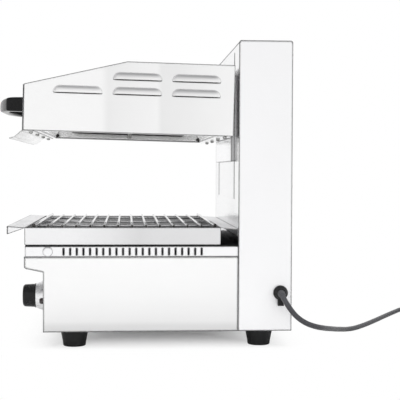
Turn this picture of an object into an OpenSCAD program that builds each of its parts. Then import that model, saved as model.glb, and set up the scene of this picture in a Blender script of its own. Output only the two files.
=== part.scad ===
// Rise-and-fall salamander grill (cheese melter), electric, free-standing.
// +Z is up, the front faces -Y, +X is the operator's right. Millimetres.
// The origin lies on the table under the middle of the appliance.

/* [Casing] */
// Width of the casing over its side panels
body_w = 450; // [430:1:480]
// Height of the column's top above the table
column_h = 530; // [522:1:560]
// Depth of the column, front face to back cover
column_d = 93; // [92:1:110]
// Distance from the origin to the column's front face
column_y = 170; // [166:1:176]
// Thickness of the stainless sheet
sheet = 1.2; // [1:0.1:1.5]
// Height of the rubber feet
foot_h = 29; // [24:1:36]
// Seam left between neighbouring panels
seam = 0.3; // [0.2:0.05:0.4]

/* [Base] */
// Length of the base from its nose to the column's front face
base_l = 366.5; // [360:0.5:372]
// Height of the base casing over its floor
base_h = 129; // [124:1:136]
// How far the nose of the base overhangs the control panel
nose_l = 32; // [28:1:36]
// Height of the nose above its lower edge
nose_h = 20.5; // [18:0.5:24]
// How much lower the underside of the nose is at the control panel
nose_drop = 6; // [3:0.5:9]
// Bend radius under the front of the nose
nose_bend = 3; // [2:0.5:4]
// Height of the vented band between base and tray
band_h = 17.6; // [16:0.2:22]
// Inset of the vented band behind the side panels
band_inset = 1.5; // [1:0.1:2.5]
// Width of one vent slot
vent_w = 2.8; // [2.4:0.1:4]
// Height of one vent slot
vent_h = 12.2; // [10:0.2:13]
// Pitch of the vent slots
vent_pitch = 11.25; // [10.5:0.05:11.6]
// Number of vent slots on each side
vent_count = 22; // [16:1:22]
// Distance from the column's front face to the middle of the vent row
vent_mid = 181.6; // [176:0.2:186]
// Distance of the round plug from the nose
plug_back = 40; // [34:1:48]
// Radius of the round plug in the band
plug_r = 9.2; // [6:0.2:9.2]
// Distance of the feet's middle line from the side panels
foot_inset = 40; // [34:1:60]
// Distance of the front feet behind the control panel
foot_front = 51.5; // [40:0.5:70]
// Distance of the rear feet before the back cover
foot_rear = 52; // [40:1:60]
// Radius of a foot where it meets the floor plate
foot_top_r = 24; // [21:0.5:27]
// Radius of a foot on the table
foot_low_r = 19.5; // [17:0.5:21]

/* [Tray and rack] */
// How far the drip tray stays inside the side panels
tray_inset = 5; // [5:1:20]
// Length of the tray's hollow
tray_l = 336; // [330:1:337]
// Height of the tray's wall
tray_h = 30.5; // [26:0.5:36]
// Length of the tray's front flange
flange_l = 30; // [24:1:32]
// Depth of the lips folded down from the flanges
lip_h = 13.4; // [10:0.2:16]
// Bend radius along the tray's floor
tray_bend = 6; // [4:0.5:8]
// Length of the wire rack, front to back
rack_l = 310; // [290:1:320]
// How far the rack lies behind the middle of the tray
rack_back = 3; // [0:0.5:5]
// Radius of the rack's wires
wire_r = 2; // [1.6:0.1:2.2]
// Radius of the rack's two end rods
rod_r = 2.9; // [2.3:0.1:3.1]
// Number of cross wires between the end rods
cross_wires = 12; // [8:1:14]
// Number of wires that run front to back
long_wires = 3; // [3:1:7]

/* [Grill head] */
// Length of the head, front panel to rear panel
head_l = 360; // [352:1:364]
// Height of the head's side at the front
head_front_h = 78.5; // [74:0.5:90]
// Height of the head's side at the rear
head_rear_h = 122; // [118:0.5:126]
// Length of the flat part of the head's top
head_top_l = 184.5; // [170:0.5:200]
// Angle by which the head hangs nose-up
head_tilt = 1.4; // [1:0.1:1.5]
// Distance from the column's top down to the head's lower rear edge
head_drop = 165.2; // [162:0.2:166]
// Gap between the head's lower rear edge and the column
head_gap = 9.7; // [9.6:0.1:11]
// Width of the frame under the head, front and rear
rim_l = 28.5; // [26:0.5:32]
// Width of the frame under the head, at the sides
rim_side = 20; // [16:1:24]
// Height of the flange folded up inside the frame
rim_flange = 14; // [10:1:18]
// Height of the reflector's roof above the frame
reflector_h = 50; // [44:1:54]
// Length of the deflector below the front panel, measured forward
deflector_l = 12; // [9:0.5:15]
// Drop of the deflector below the front panel
deflector_drop = 11; // [9:0.5:14]
// Length of the deflector's lip
deflector_lip = 9; // [6:0.5:11]
// Length of one louvre
louvre_l = 83; // [70:1:88]
// Height of one louvre
louvre_h = 11.6; // [10.6:0.2:14]
// How far a louvre stands proud of the panel
louvre_out = 3.6; // [2.8:0.1:4.4]
// Pitch of the louvres, front to back
louvre_pitch = 101; // [96:1:106]
// Pitch of the louvre rows
louvre_row = 25; // [22:0.5:27]
// Distance of the rear louvres' middle from the rear panel
louvre_back = 65.7; // [60:0.1:72]
// Height of the lower louvre row above the frame
louvre_low = 72; // [68:0.5:76]

/* [Heating elements] */
// Radius of the heating tube
tube_r = 4; // [3.25:0.25:4.5]
// Distance of the outermost tubes from the sides of the frame's opening
tube_margin = 20; // [16:1:26]
// Length of a heating element
tube_l = 233; // [200:1:240]
// Distance of the elements' rear end from the rear panel
tube_back = 61; // [60:1:80]
// Height of the heating tube's centre above the frame
tube_v = 14.5; // [10:0.5:16]

/* [Handle] */
// Distance of the handle's legs from the middle
leg_x = 97; // [85:1:110]
// Width of one leg
leg_w = 22; // [18:1:26]
// Height of the handle
handle_h = 27; // [24:1:30]
// Length of a leg
leg_l = 40; // [36:1:44]
// How far the grip bows out beyond the legs
bow = 23; // [18:1:25]
// Thickness of the grip
grip_t = 17; // [15:1:19]
// Height of the handle's middle above the frame
handle_v = 51; // [46:0.5:56]

/* [Lift] */
// Distance of the bracket's arms from the side panels
arm_inset = 75; // [70:1:78]
// Thickness of the lift bracket
arm_t = 2; // [1.6:0.1:2.4]
// How far the bracket reaches below the head's lower rear edge
arm_below = 41.8; // [39:0.2:43]
// How far the bracket reaches above the head's lower rear edge
arm_above = 111.2; // [108:0.2:112]
// Clearance beside an arm in its slot
slot_gap = 4; // [3:0.1:5]
// How far the head can go down
travel_down = 64; // [50:1:64]
// How far the head can go up
travel_up = 37; // [25:1:37]
// Distance of the guide rods inside the bracket's arms
rod_inset = 40; // [38:1:44]
// Radius of the guide rods
guide_r = 6; // [5:0.5:6.5]
// Running clearance of the bushings on the rods
bush_gap = 0.05; // [0.03:0.01:0.08]
// Distance of the cable pulleys inside the bracket's arms
pulley_inset = 90; // [86:1:96]
// Radius at which the cable runs on a pulley
pulley_r = 20; // [18:1:21]
// Radius of the lifting cable
cable_r = 1.5; // [1.2:0.1:1.8]
// Distance from the column's top down to the pulley shaft
pulley_drop = 40; // [39:0.5:42]
// Radius of the pulley shaft
shaft_r = 4; // [3.5:0.25:4.5]
// Outer radius of a balance spring
spring_r = 9; // [7:0.5:10]
// Height at which the springs are anchored
spring_z0 = 62; // [58:1:80]
// Height of the springs' upper end above the head's lower rear edge
spring_top = 15.2; // [10:0.2:18]
// Number of coils drawn on a balance spring
spring_coils = 40; // [30:1:44]

/* [Control] */
// Distance of the knob's axis from the right side panel
knob_side = 95; // [91:1:110]
// Height of the knob's axis above the table
knob_z = 81; // [76:1:90]
// Radius of the black knob
knob_r = 20.8; // [18:0.2:22]
// Depth of the black knob
knob_d = 23; // [20:0.5:26]
// Radius of the knob's skirt at the panel
skirt_r = 30.5; // [28:0.5:34]
// Depth of the knob's skirt
skirt_d = 18.5; // [16:0.5:22]
// Clearance behind the turning skirt
skirt_gap = 0.8; // [0.5:0.1:0.9]
// Radius of the control spindle
spindle_r = 3; // [2.5:0.25:3.5]
// Distance of the pilot lamp from the right side panel
lamp_side = 35; // [26:1:40]
// Height of the pilot lamp above the table
lamp_z = 78.5; // [70:0.5:90]
// Radius of the pilot lamp's lens
lamp_r = 6; // [5:0.25:7]
// How far the lens stands out of the panel
lamp_out = 9; // [6:0.5:10]

/* [Power lead] */
// Distance of the gland before the back cover
gland_y = 19.5; // [18:0.5:30]
// Height of the gland above the table
gland_z = 95; // [90:1:110]
// Radius of the gland's head
gland_r = 12.6; // [11:0.2:14]
// Radius of the power cord
cord_r = 4.5; // [4:0.25:5]

/* [Hidden] */
$fa = 5;
$fs = 1.2;

// Colours
steel = [0.86, 0.86, 0.87];
bright = [0.93, 0.93, 0.94];
grey = [0.62, 0.63, 0.65];
dark = [0.10, 0.10, 0.11];
white = [0.92, 0.92, 0.9];

// Levels and faces that several pieces share
half_w = body_w / 2;
inner_w = body_w - 2 * sheet - 2 * seam;
y_col = column_y;
y_back = column_y + column_d;
y_nose = y_col - base_l;
y_panel = y_nose + nose_l;
z_floor = foot_h;
z_base = z_floor + base_h;
z_nose = z_base - nose_h;
z_chin = z_nose - nose_drop;
z_band = z_base + band_h;
rib_h = 0.4;
z_deck = z_band + sheet;
tray_lift = 0.3;
z_tray = z_deck + rib_h + tray_lift;
z_rim = z_tray + tray_h;
y_tray_rear = y_col - flange_l;
y_tray = y_tray_rear - tray_l;
flange_rise = 2;
flange_fall = 2.4;
band_half = half_w - band_inset;
y_band = y_nose + band_inset;
tray_w = body_w - 2 * tray_inset;
head_z = column_h - head_drop;
y_head = y_col - head_gap;
head_pivot = [0, y_head, head_z];

// Small hardware
screw_r = 2;
head_r = 3.6;
head_t = 1.4;
fit = 0.1;

// Control
knob_x = half_w - knob_side;
lamp_x = half_w - lamp_side;

// Lift mechanism
arm_x = half_w - arm_inset;
arm_z0 = head_z - arm_below;
arm_z1 = head_z + arm_above;
stop_gap = 3;
slot_z0 = arm_z0 - travel_down - stop_gap;
slot_z1 = arm_z1 + travel_up + stop_gap;
rod_x = arm_x - rod_inset;
pulley_x = arm_x - pulley_inset;
pulley_z = column_h - pulley_drop;
spring_z1 = head_z + spring_top;
arm_gap = 0.4;
web_y = y_head + head_rear_h * sin(head_tilt) + arm_gap;
arm_reach = 34;
guide_y = y_col + 35;
plate_y = y_col + 12;
plate_t = 4;
housing_w = 34;
housing_d = 38;
carriage_z0 = arm_z0 + 17;
carriage_z1 = arm_z1 - 16;
bush_r = guide_r + 4.5;
bush_l = 30;
bracket_t = 10;
upper_z = slot_z1;
lower_z = slot_z0;
bracket_w = 2 * rod_x + 40;
pulley_y = guide_y + 15;
pulley_t = 10;
cable_front_y = pulley_y - pulley_r;
cable_rear_y = pulley_y + pulley_r;
lug_z0 = carriage_z0 + 60;
lug_z1 = lug_z0 + 20;
hanger_t = 6;
hook_h = 16;

// Gland and cord: points chosen by hand along the cord's middle line
gland_out = 14;
cord_route = [
    [238, 243, 95], [252, 243, 93.6], [265, 243.5, 89.7], [276, 246.3, 83.1], [286, 250.8, 75.4],
    [293, 257.8, 66.2], [297, 267, 58.3], [297, 277.8, 52], [293, 288.6, 47.6], [284, 299.5, 43.8],
    [270, 309.4, 40.4], [252, 318.8, 36.7], [232, 327.7, 33.1], [210, 336.5, 29.3], [187, 345.7, 25.3],
    [163, 355.8, 21.1], [138, 367.1, 17], [112, 379.8, 12.7], [85, 394.1, 8.8], [52, 414.6, 5.7],
    [8.8, 443.1, 4.8], [-46.7, 477.6, 4.8], [-110.5, 515.2, 4.8], [-171.1, 552, 4.8], [-204.7, 573.9, 4.8],
    [-235, 604, 4.8], [-259, 641, 4.8],
];
tail_route = [[-212, 722, 14], [-196, 723, 15], [-180, 724, 17], [-165, 725, 19]];
coil_centre = [-212, 668];
coil_r = 50;
coil_bundle = 2 * cord_r;
plug_at = tail_route[3];

// ---------- helpers ----------

function unit(v) = v / norm(v);
function left_of(a, b) = let (d = unit(b - a)) [-d[1], d[0]];

// Point i of a folded sheet's path, moved by t to the left of its direction
function shifted(path, i, t) =
    let (last = len(path) - 1)
    i == 0 ? path[0] + t * left_of(path[0], path[1])
    : i == last ? path[last] + t * left_of(path[last - 1], path[last])
    : let (a = left_of(path[i - 1], path[i]), b = left_of(path[i], path[i + 1]))
      path[i] + t * (a + b) / (1 + a * b);

function band(path, t) = concat(path, [for (i = [len(path) - 1 : -1 : 0]) shifted(path, i, t)]);

// A YZ outline drawn out along X, centred
module along_x(w) rotate([90, 0, 90]) linear_extrude(w, center = true) children();

// A sheet folded along a YZ path, w wide along X
module folded(path, t, w) along_x(w) polygon(band(path, t));

// A block between two corners
module block(a, b) translate(a) cube(b - a);

// A cylinder along Y from y0 to y1
module rod_y(r, x, y0, y1, z) translate([x, y0, z]) rotate([-90, 0, 0]) cylinder(r = r, h = y1 - y0);

// A cylinder along X from x0 to x1
module rod_x_at(r, x0, x1, y, z) translate([x0, y, z]) rotate([0, 90, 0]) cylinder(r = r, h = x1 - x0);

module both_sides() {
    children();
    mirror([1, 0, 0]) children();
}

// Head pieces are drawn from the head's lower rear edge and then tilted
module on_head() translate(head_pivot) rotate([-head_tilt, 0, 0]) children();

// A pan-head screw along +Z, its head's underside at z 0
module pan_screw(shank) {
    cylinder(r = screw_r, h = shank);
    translate([0, 0, -head_t * 0.6]) cylinder(r = head_r, h = head_t * 0.6);
    translate([0, 0, -head_t]) cylinder(r1 = head_r * 0.7, r2 = head_r, h = head_t * 0.4);
}

// ---------- base ----------

function nose_path() = [
    [y_panel, z_chin],
    [y_nose + nose_bend, z_nose],
    [y_nose, z_nose + nose_bend],
    [y_nose, z_base],
];

module base_casing() color(steel) {
    outline = concat([[y_col - seam, z_floor], [y_panel, z_floor]], nose_path(), [[y_col - seam, z_base]]);
    both_sides() translate([half_w - sheet / 2, 0, 0]) along_x(sheet) polygon(outline);
    folded(nose_path(), -sheet, body_w - 2 * sheet);
    flange = 12;
    difference() {
        block([-half_w, y_nose, z_base - sheet], [half_w, y_col - seam, z_base]);
        block([-half_w + flange, y_nose + flange, z_base - 2 * sheet],
              [half_w - flange, y_col - flange, z_base + sheet]);
    }
}

module control_panel() color(steel) difference() {
    block([-inner_w / 2, y_panel, z_floor + seam], [inner_w / 2, y_panel + sheet, z_chin - seam]);
    rod_y(spindle_r + 2, knob_x, y_panel - 1, y_panel + 2 * sheet, knob_z);
    rod_y(lamp_r - 0.5 + fit, lamp_x, y_panel - 1, y_panel + 2 * sheet, lamp_z);
    for (s = [-1, 1]) rod_y(screw_r + fit, knob_x + 15 * s, y_panel - 1, y_panel + 2 * sheet, knob_z);
}

foot_places = [for (x = [-1, 1], y = [y_panel + foot_front, y_back - foot_rear]) [x * (half_w - foot_inset), y]];
edge_screw_places = [for (x = [-1, 1], y = [y_panel + 90, y_col - 31]) [x * (half_w - 9), y]];

air_r = 5;
air_pitch = 22;
module bottom_plate() color(grey) difference() {
    block([-inner_w / 2, y_panel + sheet + seam, z_floor], [inner_w / 2, y_back - sheet - seam, z_floor + sheet]);
    for (p = foot_places) translate([p[0], p[1], z_floor - 1]) cylinder(r = screw_r + 1 + fit, h = 3 * sheet);
    for (p = edge_screw_places) translate([p[0], p[1], z_floor - 1]) cylinder(r = screw_r + fit, h = 3 * sheet);
    for (i = [-4 : 4]) translate([i * air_pitch, (y_panel + y_col) / 2, z_floor - 1])
        cylinder(r = air_r, h = 3 * sheet);
}

module bottom_screws() color(bright)
    for (p = edge_screw_places) translate([p[0], p[1], z_floor]) pan_screw(8);

foot_bore = 9;
module rubber_feet() color(dark) for (p = foot_places) translate([p[0], p[1], 0]) difference() {
    cylinder(r1 = foot_low_r, r2 = foot_top_r, h = foot_h);
    translate([0, 0, -1]) cylinder(r = foot_bore, h = foot_h - 7);
    cylinder(r = screw_r + 1 + fit, h = foot_h + 1);
}

module foot_screws() color(bright) for (p = foot_places) translate([p[0], p[1], foot_h - 8]) {
    cylinder(r = screw_r + 1, h = 8 + sheet + 6);
    translate([0, 0, -4]) cylinder(r = foot_bore - 2, h = 4);
    translate([0, 0, 8 + sheet + 0.1]) cylinder(r = 5, h = 4, $fn = 6);
}

module vent_band() color(steel) difference() {
    block([-band_half, y_band, z_base], [band_half, y_col - seam, z_band]);
    block([-band_half + sheet, y_band + sheet, z_base - 1], [band_half - sheet, y_col - seam - sheet, z_band + 1]);
    row = (vent_count - 1) * vent_pitch;
    for (i = [0 : vent_count - 1]) {
        y = y_col - vent_mid - row / 2 + i * vent_pitch;
        translate([-half_w, y - vent_w / 2, z_base + (band_h - vent_h) / 2]) cube([body_w, vent_w, vent_h]);
    }
    rod_x_at(plug_r - 3 + fit, -half_w, half_w, y_nose + plug_back, z_base + band_h / 2);
}

module side_plugs() color(steel) both_sides() {
    y = y_nose + plug_back;
    z = z_base + band_h / 2;
    rod_x_at(plug_r - 3, band_half - sheet - 4, band_half + 1, y, z);
    rod_x_at(plug_r - 0.6, band_half, band_half + 1, y, z);
    translate([band_half + 1, y, z]) rotate([0, 90, 0]) cylinder(r1 = plug_r - 0.6, r2 = plug_r - 3, h = 1.3);
}

module top_deck() color(grey) {
    block([-band_half, y_band, z_band], [band_half, y_col - seam, z_deck]);
    both_sides() block([tray_w / 2 - 76, y_tray + 2 * tray_bend, z_deck],
                       [tray_w / 2 - 66, y_tray_rear - 2 * tray_bend, z_deck + rib_h]);
}

// ---------- column ----------

top_bend = 4;

// Outline of the column seen from the side, its two upper corners rounded
module column_outline(inset) {
    y0 = y_col + inset;
    y1 = y_back - inset;
    z1 = column_h - inset;
    translate([y0, z_floor]) square([y1 - y0, z1 - top_bend - z_floor]);
    for (y = [y0 + top_bend, y1 - top_bend]) translate([y, z1 - top_bend]) circle(top_bend);
    translate([y0 + top_bend, z_floor]) square([y1 - y0 - 2 * top_bend, z1 - z_floor]);
}

module column_casing() color(steel) difference() {
    along_x(body_w) column_outline(0);
    along_x(body_w - 2 * sheet) column_outline(sheet);
    block([-half_w + sheet, y_col - 1, z_floor - 1], [half_w - sheet, y_back + 1, column_h - top_bend]);
    rod_x_at(gland_r - 3 + fit, half_w - 2 * sheet, half_w + 1, y_back - gland_y, gland_z);
}

z_cover = column_h - top_bend - seam;
slot_x = arm_x - arm_t / 2;
slot_w = arm_t + 2 * slot_gap;

module column_front() color(steel) difference() {
    block([-inner_w / 2, y_col, z_floor + sheet + seam], [inner_w / 2, y_col + sheet, z_cover]);
    both_sides() block([slot_x - slot_w / 2, y_col - 1, slot_z0],
                       [slot_x + slot_w / 2, y_col + 2 * sheet, slot_z1]);
    block([-arm_x, y_col - 1, z_floor], [arm_x + 20, y_col + 2 * sheet, z_floor + 40]);
}

cover_screw_z = [z_floor + 24, (z_floor + column_h) / 2, column_h - 24];
cover_screw_in = 9;
module cover_points() for (x = [-1, 1], z = cover_screw_z) translate([x * (half_w - cover_screw_in), y_back, z])
    rotate([90, 0, 0]) children();

module column_back() color(steel) difference() {
    block([-inner_w / 2, y_back - sheet, z_floor + seam], [inner_w / 2, y_back, z_cover]);
    cover_points() translate([0, 0, -1]) cylinder(r = screw_r + fit, h = 3 * sheet);
    for (i = [-6 : 6], z = [column_h - 70, column_h - 60])
        translate([i * 24, y_back, z]) cube([16, 4 * sheet, 3], center = true);
}

module cover_screws() color(bright) cover_points() pan_screw(9);

// ---------- lift ----------

module guide_rods() color(bright) both_sides()
    translate([rod_x, guide_y, lower_z - bracket_t]) cylinder(r = guide_r, h = upper_z - lower_z + 2 * bracket_t);

module rod_bracket(z, reach) difference() {
    block([-bracket_w / 2, y_col + sheet, z], [bracket_w / 2, guide_y + reach, z + bracket_t]);
    both_sides() translate([rod_x, guide_y, z - 1]) cylinder(r = guide_r + fit / 2, h = bracket_t + 2);
}

module upper_rod_bracket() color(grey) {
    rod_bracket(upper_z, 31);
    both_sides() for (s = [-1, 1]) difference() {
        x = pulley_x + s * (pulley_t / 2 + 1 + hanger_t / 2);
        block([x - hanger_t / 2, pulley_y - 10, pulley_z - 10], [x + hanger_t / 2, pulley_y + 10, upper_z + 1]);
        rod_x_at(shaft_r + bush_gap, x - hanger_t, x + hanger_t, pulley_y, pulley_z);
    }
}

module lower_rod_bracket() color(grey) rod_bracket(lower_z - bracket_t, 12);

anchor_half = pulley_x + 20;
module spring_anchor() color(grey) {
    block([-anchor_half, cable_rear_y - 6, z_floor + sheet], [anchor_half, cable_rear_y + 10, z_floor + 2 * sheet]);
    difference() {
        block([-anchor_half, cable_rear_y - 1.5, z_floor + sheet],
              [anchor_half, cable_rear_y + 1.5, spring_z0 - 2]);
        both_sides() rod_y(3, pulley_x, cable_rear_y - 5, cable_rear_y + 5, spring_z0 - 8);
    }
    both_sides() translate([pulley_x, cable_rear_y, spring_z0 - 3]) cylinder(r = spring_r - 2, h = 3);
}

module balance_springs() color(bright) both_sides() translate([pulley_x, cable_rear_y, spring_z0]) {
    pitch = (spring_z1 - spring_z0) / spring_coils;
    wire = 1.6;
    outer = [for (i = [0 : spring_coils - 1], k = [0, 1]) [spring_r - k * wire * 0.6, (i + k * 0.5) * pitch]];
    top = spring_coils * pitch;
    inside = [[spring_r - wire, top], [spring_r - 2 * wire, top], [spring_r - 2 * wire, 0]];
    rotate_extrude() polygon(concat(outer, inside));
}

// Cable lying over each pulley
module cable_wraps() color(bright) both_sides() translate([pulley_x, pulley_y, pulley_z]) rotate([0, 90, 0])
    rotate([0, 0, 90]) rotate_extrude(angle = 180) translate([pulley_r, 0]) circle(cable_r);

module cable_pulleys() color(grey) both_sides() translate([pulley_x - pulley_t / 2, pulley_y, pulley_z])
    rotate([0, 90, 0]) {
        groove = pulley_r - cable_r - 0.3;
        rim = pulley_r + 2;
        difference() {
            rotate_extrude() polygon([[shaft_r - 0.5, 0], [rim, 0], [rim, 1], [groove, pulley_t / 2 - cable_r],
                [groove, pulley_t / 2 + cable_r], [rim, pulley_t - 1], [rim, pulley_t], [shaft_r - 0.5, pulley_t]]);
            translate([0, 0, -1]) cylinder(r = shaft_r, h = pulley_t + 2);
        }
    }

shaft_half = pulley_x + pulley_t / 2 + hanger_t + 3;
module pulley_shaft() color(bright)
    rod_x_at(shaft_r, -shaft_half, shaft_half, pulley_y, pulley_z);

module lift_cables() color(bright) both_sides()
    translate([pulley_x, cable_front_y, lug_z1]) cylinder(r = cable_r, h = pulley_z - lug_z1);

module spring_heads() color(grey) both_sides() translate([pulley_x, cable_rear_y, spring_z1]) {
    cylinder(r = spring_r - 1, h = 3);
    cylinder(r = 3, h = hook_h);
}

module spring_cables() color(bright) both_sides()
    translate([pulley_x, cable_rear_y, spring_z1 + hook_h])
        cylinder(r = cable_r, h = pulley_z - spring_z1 - hook_h);

bolt_places = [for (x = [-1, 1], v = [24, 88]) [x * (arm_x - 40), v]];
bolt_r = 2.5;
bolt_head_r = 4.4;
tilt_gap = 0.15;

// Distance from the rear panel to a face at world depth y, at height v of the tilted head
function out_to(y, v) = (y - y_head - v * sin(head_tilt)) / cos(head_tilt);

module lift_bracket() color(bright) {
    difference() {
        block([-arm_x, web_y, arm_z0], [arm_x, web_y + arm_t, arm_z1]);
        on_head() for (p = bolt_places) rod_y(bolt_r + 2 * fit, p[0], 0, 20, p[1]);
    }
    both_sides() block([arm_x - arm_t, web_y, arm_z0], [arm_x, y_col + arm_reach, arm_z1]);
    block([arm_x - fit, y_col + 26, lead_clip_z], [lead_x + 6, block_at[1] + 14, lead_clip_z + 8]);
}

module head_bolts() color(bright) on_head() for (p = bolt_places) {
    out = out_to(web_y + arm_t, p[1]) + tilt_gap;
    rod_y(bolt_r, p[0], -sheet - 8, out + 1, p[1]);
    translate([p[0], out, p[1]]) rotate([-90, 0, 0]) cylinder(r = bolt_head_r, h = 3, $fn = 6);
    translate([p[0], -sheet - 4, p[1]]) rotate([-90, 0, 0]) cylinder(r = bolt_head_r, h = 4, $fn = 6);
}

module bracket_spacers() color(bright) on_head() for (p = bolt_places) difference() {
    rod_y(bolt_head_r, p[0], 0, out_to(web_y, p[1]) - tilt_gap, p[1]);
    rod_y(bolt_r + fit, p[0], -1, 10, p[1]);
}

module carriage() color(grey) {
    block([-arm_x + arm_t, plate_y, carriage_z0], [arm_x - arm_t, plate_y + plate_t, carriage_z1]);
    both_sides() difference() {
        block([rod_x - housing_w / 2, plate_y + plate_t, carriage_z0],
              [rod_x + housing_w / 2, plate_y + plate_t + housing_d, carriage_z1]);
        translate([rod_x, guide_y, carriage_z0 - 1])
            cylinder(r = bush_r + fit / 5, h = carriage_z1 - carriage_z0 + 2);
    }
    both_sides() difference() {
        block([pulley_x - 8, plate_y + plate_t, lug_z0], [pulley_x + 8, cable_front_y + 6, lug_z1]);
        translate([pulley_x, cable_front_y, lug_z0 - 1]) cylinder(r = cable_r + fit, h = 12);
    }
}

module linear_bushings() color(bright) both_sides() for (z = [carriage_z0, carriage_z1 - bush_l])
    translate([rod_x, guide_y, z]) difference() {
        cylinder(r = bush_r, h = bush_l);
        translate([0, 0, -1]) cylinder(r = guide_r + bush_gap, h = bush_l + 2);
    }

// ---------- head ----------

front_gap = 0.4;
louvre_places = [
    [-louvre_back, louvre_low], [-louvre_back, louvre_low + louvre_row],
    [-louvre_back - louvre_pitch, louvre_low], [-louvre_back - louvre_pitch, louvre_low + louvre_row],
    [-louvre_back - 2 * louvre_pitch, louvre_low],
];

// Radius of a louvre's bow, which meets the panel at the louvre's upper edge
louvre_bow = (louvre_h * louvre_h + louvre_out * louvre_out) / (2 * louvre_out);

// A louvre's hood: a bowed bar with round ends, cut off at the panel and, past its lower edge, open below
module louvre_hood(r, past) intersection() {
    half = louvre_l / 2 - louvre_h;
    translate([half_w + louvre_out - louvre_bow, 0, -louvre_h / 2]) {
        rotate([90, 0, 0]) cylinder(r = r, h = 2 * half, center = true);
        for (y = [-half, half]) translate([0, y, 0]) sphere(r);
    }
    block([half_w - sheet / 2 - past, -louvre_l, -louvre_h / 2 - past / 2],
          [half_w + 2 * louvre_out, louvre_l, louvre_h]);
}

head_outline = [
    [-head_l + sheet + front_gap, 0], [0, 0], [0, head_rear_h], [-head_top_l, head_rear_h],
    [-head_l + sheet + front_gap, head_front_h],
];
top_path = [[0, head_rear_h], [-head_top_l, head_rear_h], [-head_l + sheet + front_gap, head_front_h]];

module head_casing() color(steel) on_head() difference() {
    union() {
        both_sides() translate([half_w - sheet / 2, 0, 0]) along_x(sheet) polygon(head_outline);
        folded(top_path, sheet, body_w - sheet);
        both_sides() for (p = louvre_places) translate([0, p[0], p[1]]) louvre_hood(louvre_bow, 0);
    }
    both_sides() for (p = louvre_places) translate([0, p[0], p[1]]) louvre_hood(louvre_bow - sheet, sheet);
}

module head_front() color(steel) on_head() difference() {
    translate([0, 0, 0]) block([-half_w, -head_l, 0], [half_w, -head_l + sheet, head_front_h - 1]);
    for (x = [-1, 1]) rod_y(screw_r + fit, x * leg_x, -head_l - 1, -head_l + 2 * sheet, handle_v);
}

module head_rear() color(steel) on_head() difference() {
    block([-inner_w / 2, -sheet, sheet + seam], [inner_w / 2, 0, head_rear_h - sheet - seam]);
    for (p = bolt_places) rod_y(bolt_r + fit, p[0], -3 * sheet, sheet, p[1]);
}

rim_screw_in = 12.3;
rim_screw_x = half_w - 28;
rim_screws = [for (i = [-3 : 2 : 3], y = [-rim_screw_in, rim_screw_in - head_l]) [i * rim_screw_x / 3, y]];
open_half = half_w - rim_side;

module bottom_frame() color(bright) on_head() difference() {
    union() {
        block([-inner_w / 2, -head_l + sheet + front_gap, 0], [inner_w / 2, 0, sheet]);
        block([-open_half - sheet, -head_l + rim_l - sheet, 0], [open_half + sheet, -rim_l + sheet, rim_flange]);
    }
    block([-open_half, -head_l + rim_l, -1], [open_half, -rim_l, rim_flange + 1]);
    for (p = rim_screws) translate([p[0], p[1], -1]) cylinder(r = screw_r + fit, h = 3 * sheet);
}

// The front screws clamp the deflector to the frame; the rear ones sit on the frame itself
module frame_screws() color(bright) on_head() for (p = rim_screws)
    translate([p[0], p[1], p[1] < -head_l / 2 ? -sheet : 0]) {
        cylinder(r = screw_r, h = 8);
        translate([0, 0, -2.4]) cylinder(r = head_r, h = 2.4);
        translate([0, 0, -3.6]) cylinder(r1 = head_r * 0.6, r2 = head_r, h = 1.2);
    }

deflector_grip = 20;
module front_deflector() color(bright) on_head() difference() {
    folded([
        [-head_l + deflector_grip, -sheet], [-head_l, -sheet],
        [-head_l - deflector_l, -deflector_drop - sheet],
        [-head_l - deflector_l - deflector_lip, -deflector_drop - sheet - deflector_lip * 0.3],
    ], -sheet, body_w);
    for (p = rim_screws) translate([p[0], p[1], -4]) cylinder(r = screw_r + fit, h = 8);
}

reflector_slope = 14;
reflector_path = [
    [-head_l + rim_l + seam, sheet + seam],
    [-head_l + rim_l + reflector_slope, reflector_h],
    [-rim_l - reflector_slope, reflector_h],
    [-rim_l - seam, sheet + seam],
];
reflector_half = open_half - seam;

module reflector() color(bright) on_head() difference() {
    union() {
        folded(reflector_path, -sheet, 2 * reflector_half);
        both_sides() translate([reflector_half - sheet / 2, 0, 0]) along_x(sheet) polygon(reflector_path);
    }
    for (x = leg_places) translate([x, -tube_back, reflector_h - 3 * sheet]) cylinder(r = bush_hole, h = 6 * sheet);
    for (x = leg_places) translate([x, -tube_back - tube_l / 2, reflector_h - 3 * sheet])
        cylinder(r = screw_r + fit, h = 6 * sheet);
}

tube_pitch = 2 * (open_half - tube_margin) / 5;
leg_places = [for (i = [-5 : 2 : 5]) i * tube_pitch / 2];
bush_hole = tube_r + 2.6;
bend_r = 10;
insulation_gap = 0.3;
insulation_t = 20;
insulation_in = 20;

module insulation() color(white) on_head() difference() {
    block([-reflector_half, -head_l + rim_l + insulation_in, reflector_h + insulation_gap],
          [reflector_half, -rim_l - insulation_in, reflector_h + insulation_gap + insulation_t]);
    for (x = leg_places) translate([x, -tube_back, reflector_h]) cylinder(r = bush_hole + 2, h = 2 * insulation_t);
    for (x = leg_places) translate([x, -tube_back - tube_l / 2, reflector_h])
        cylinder(r = head_r + 1, h = 2 * insulation_t);
}

stub_h = 34;

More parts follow.
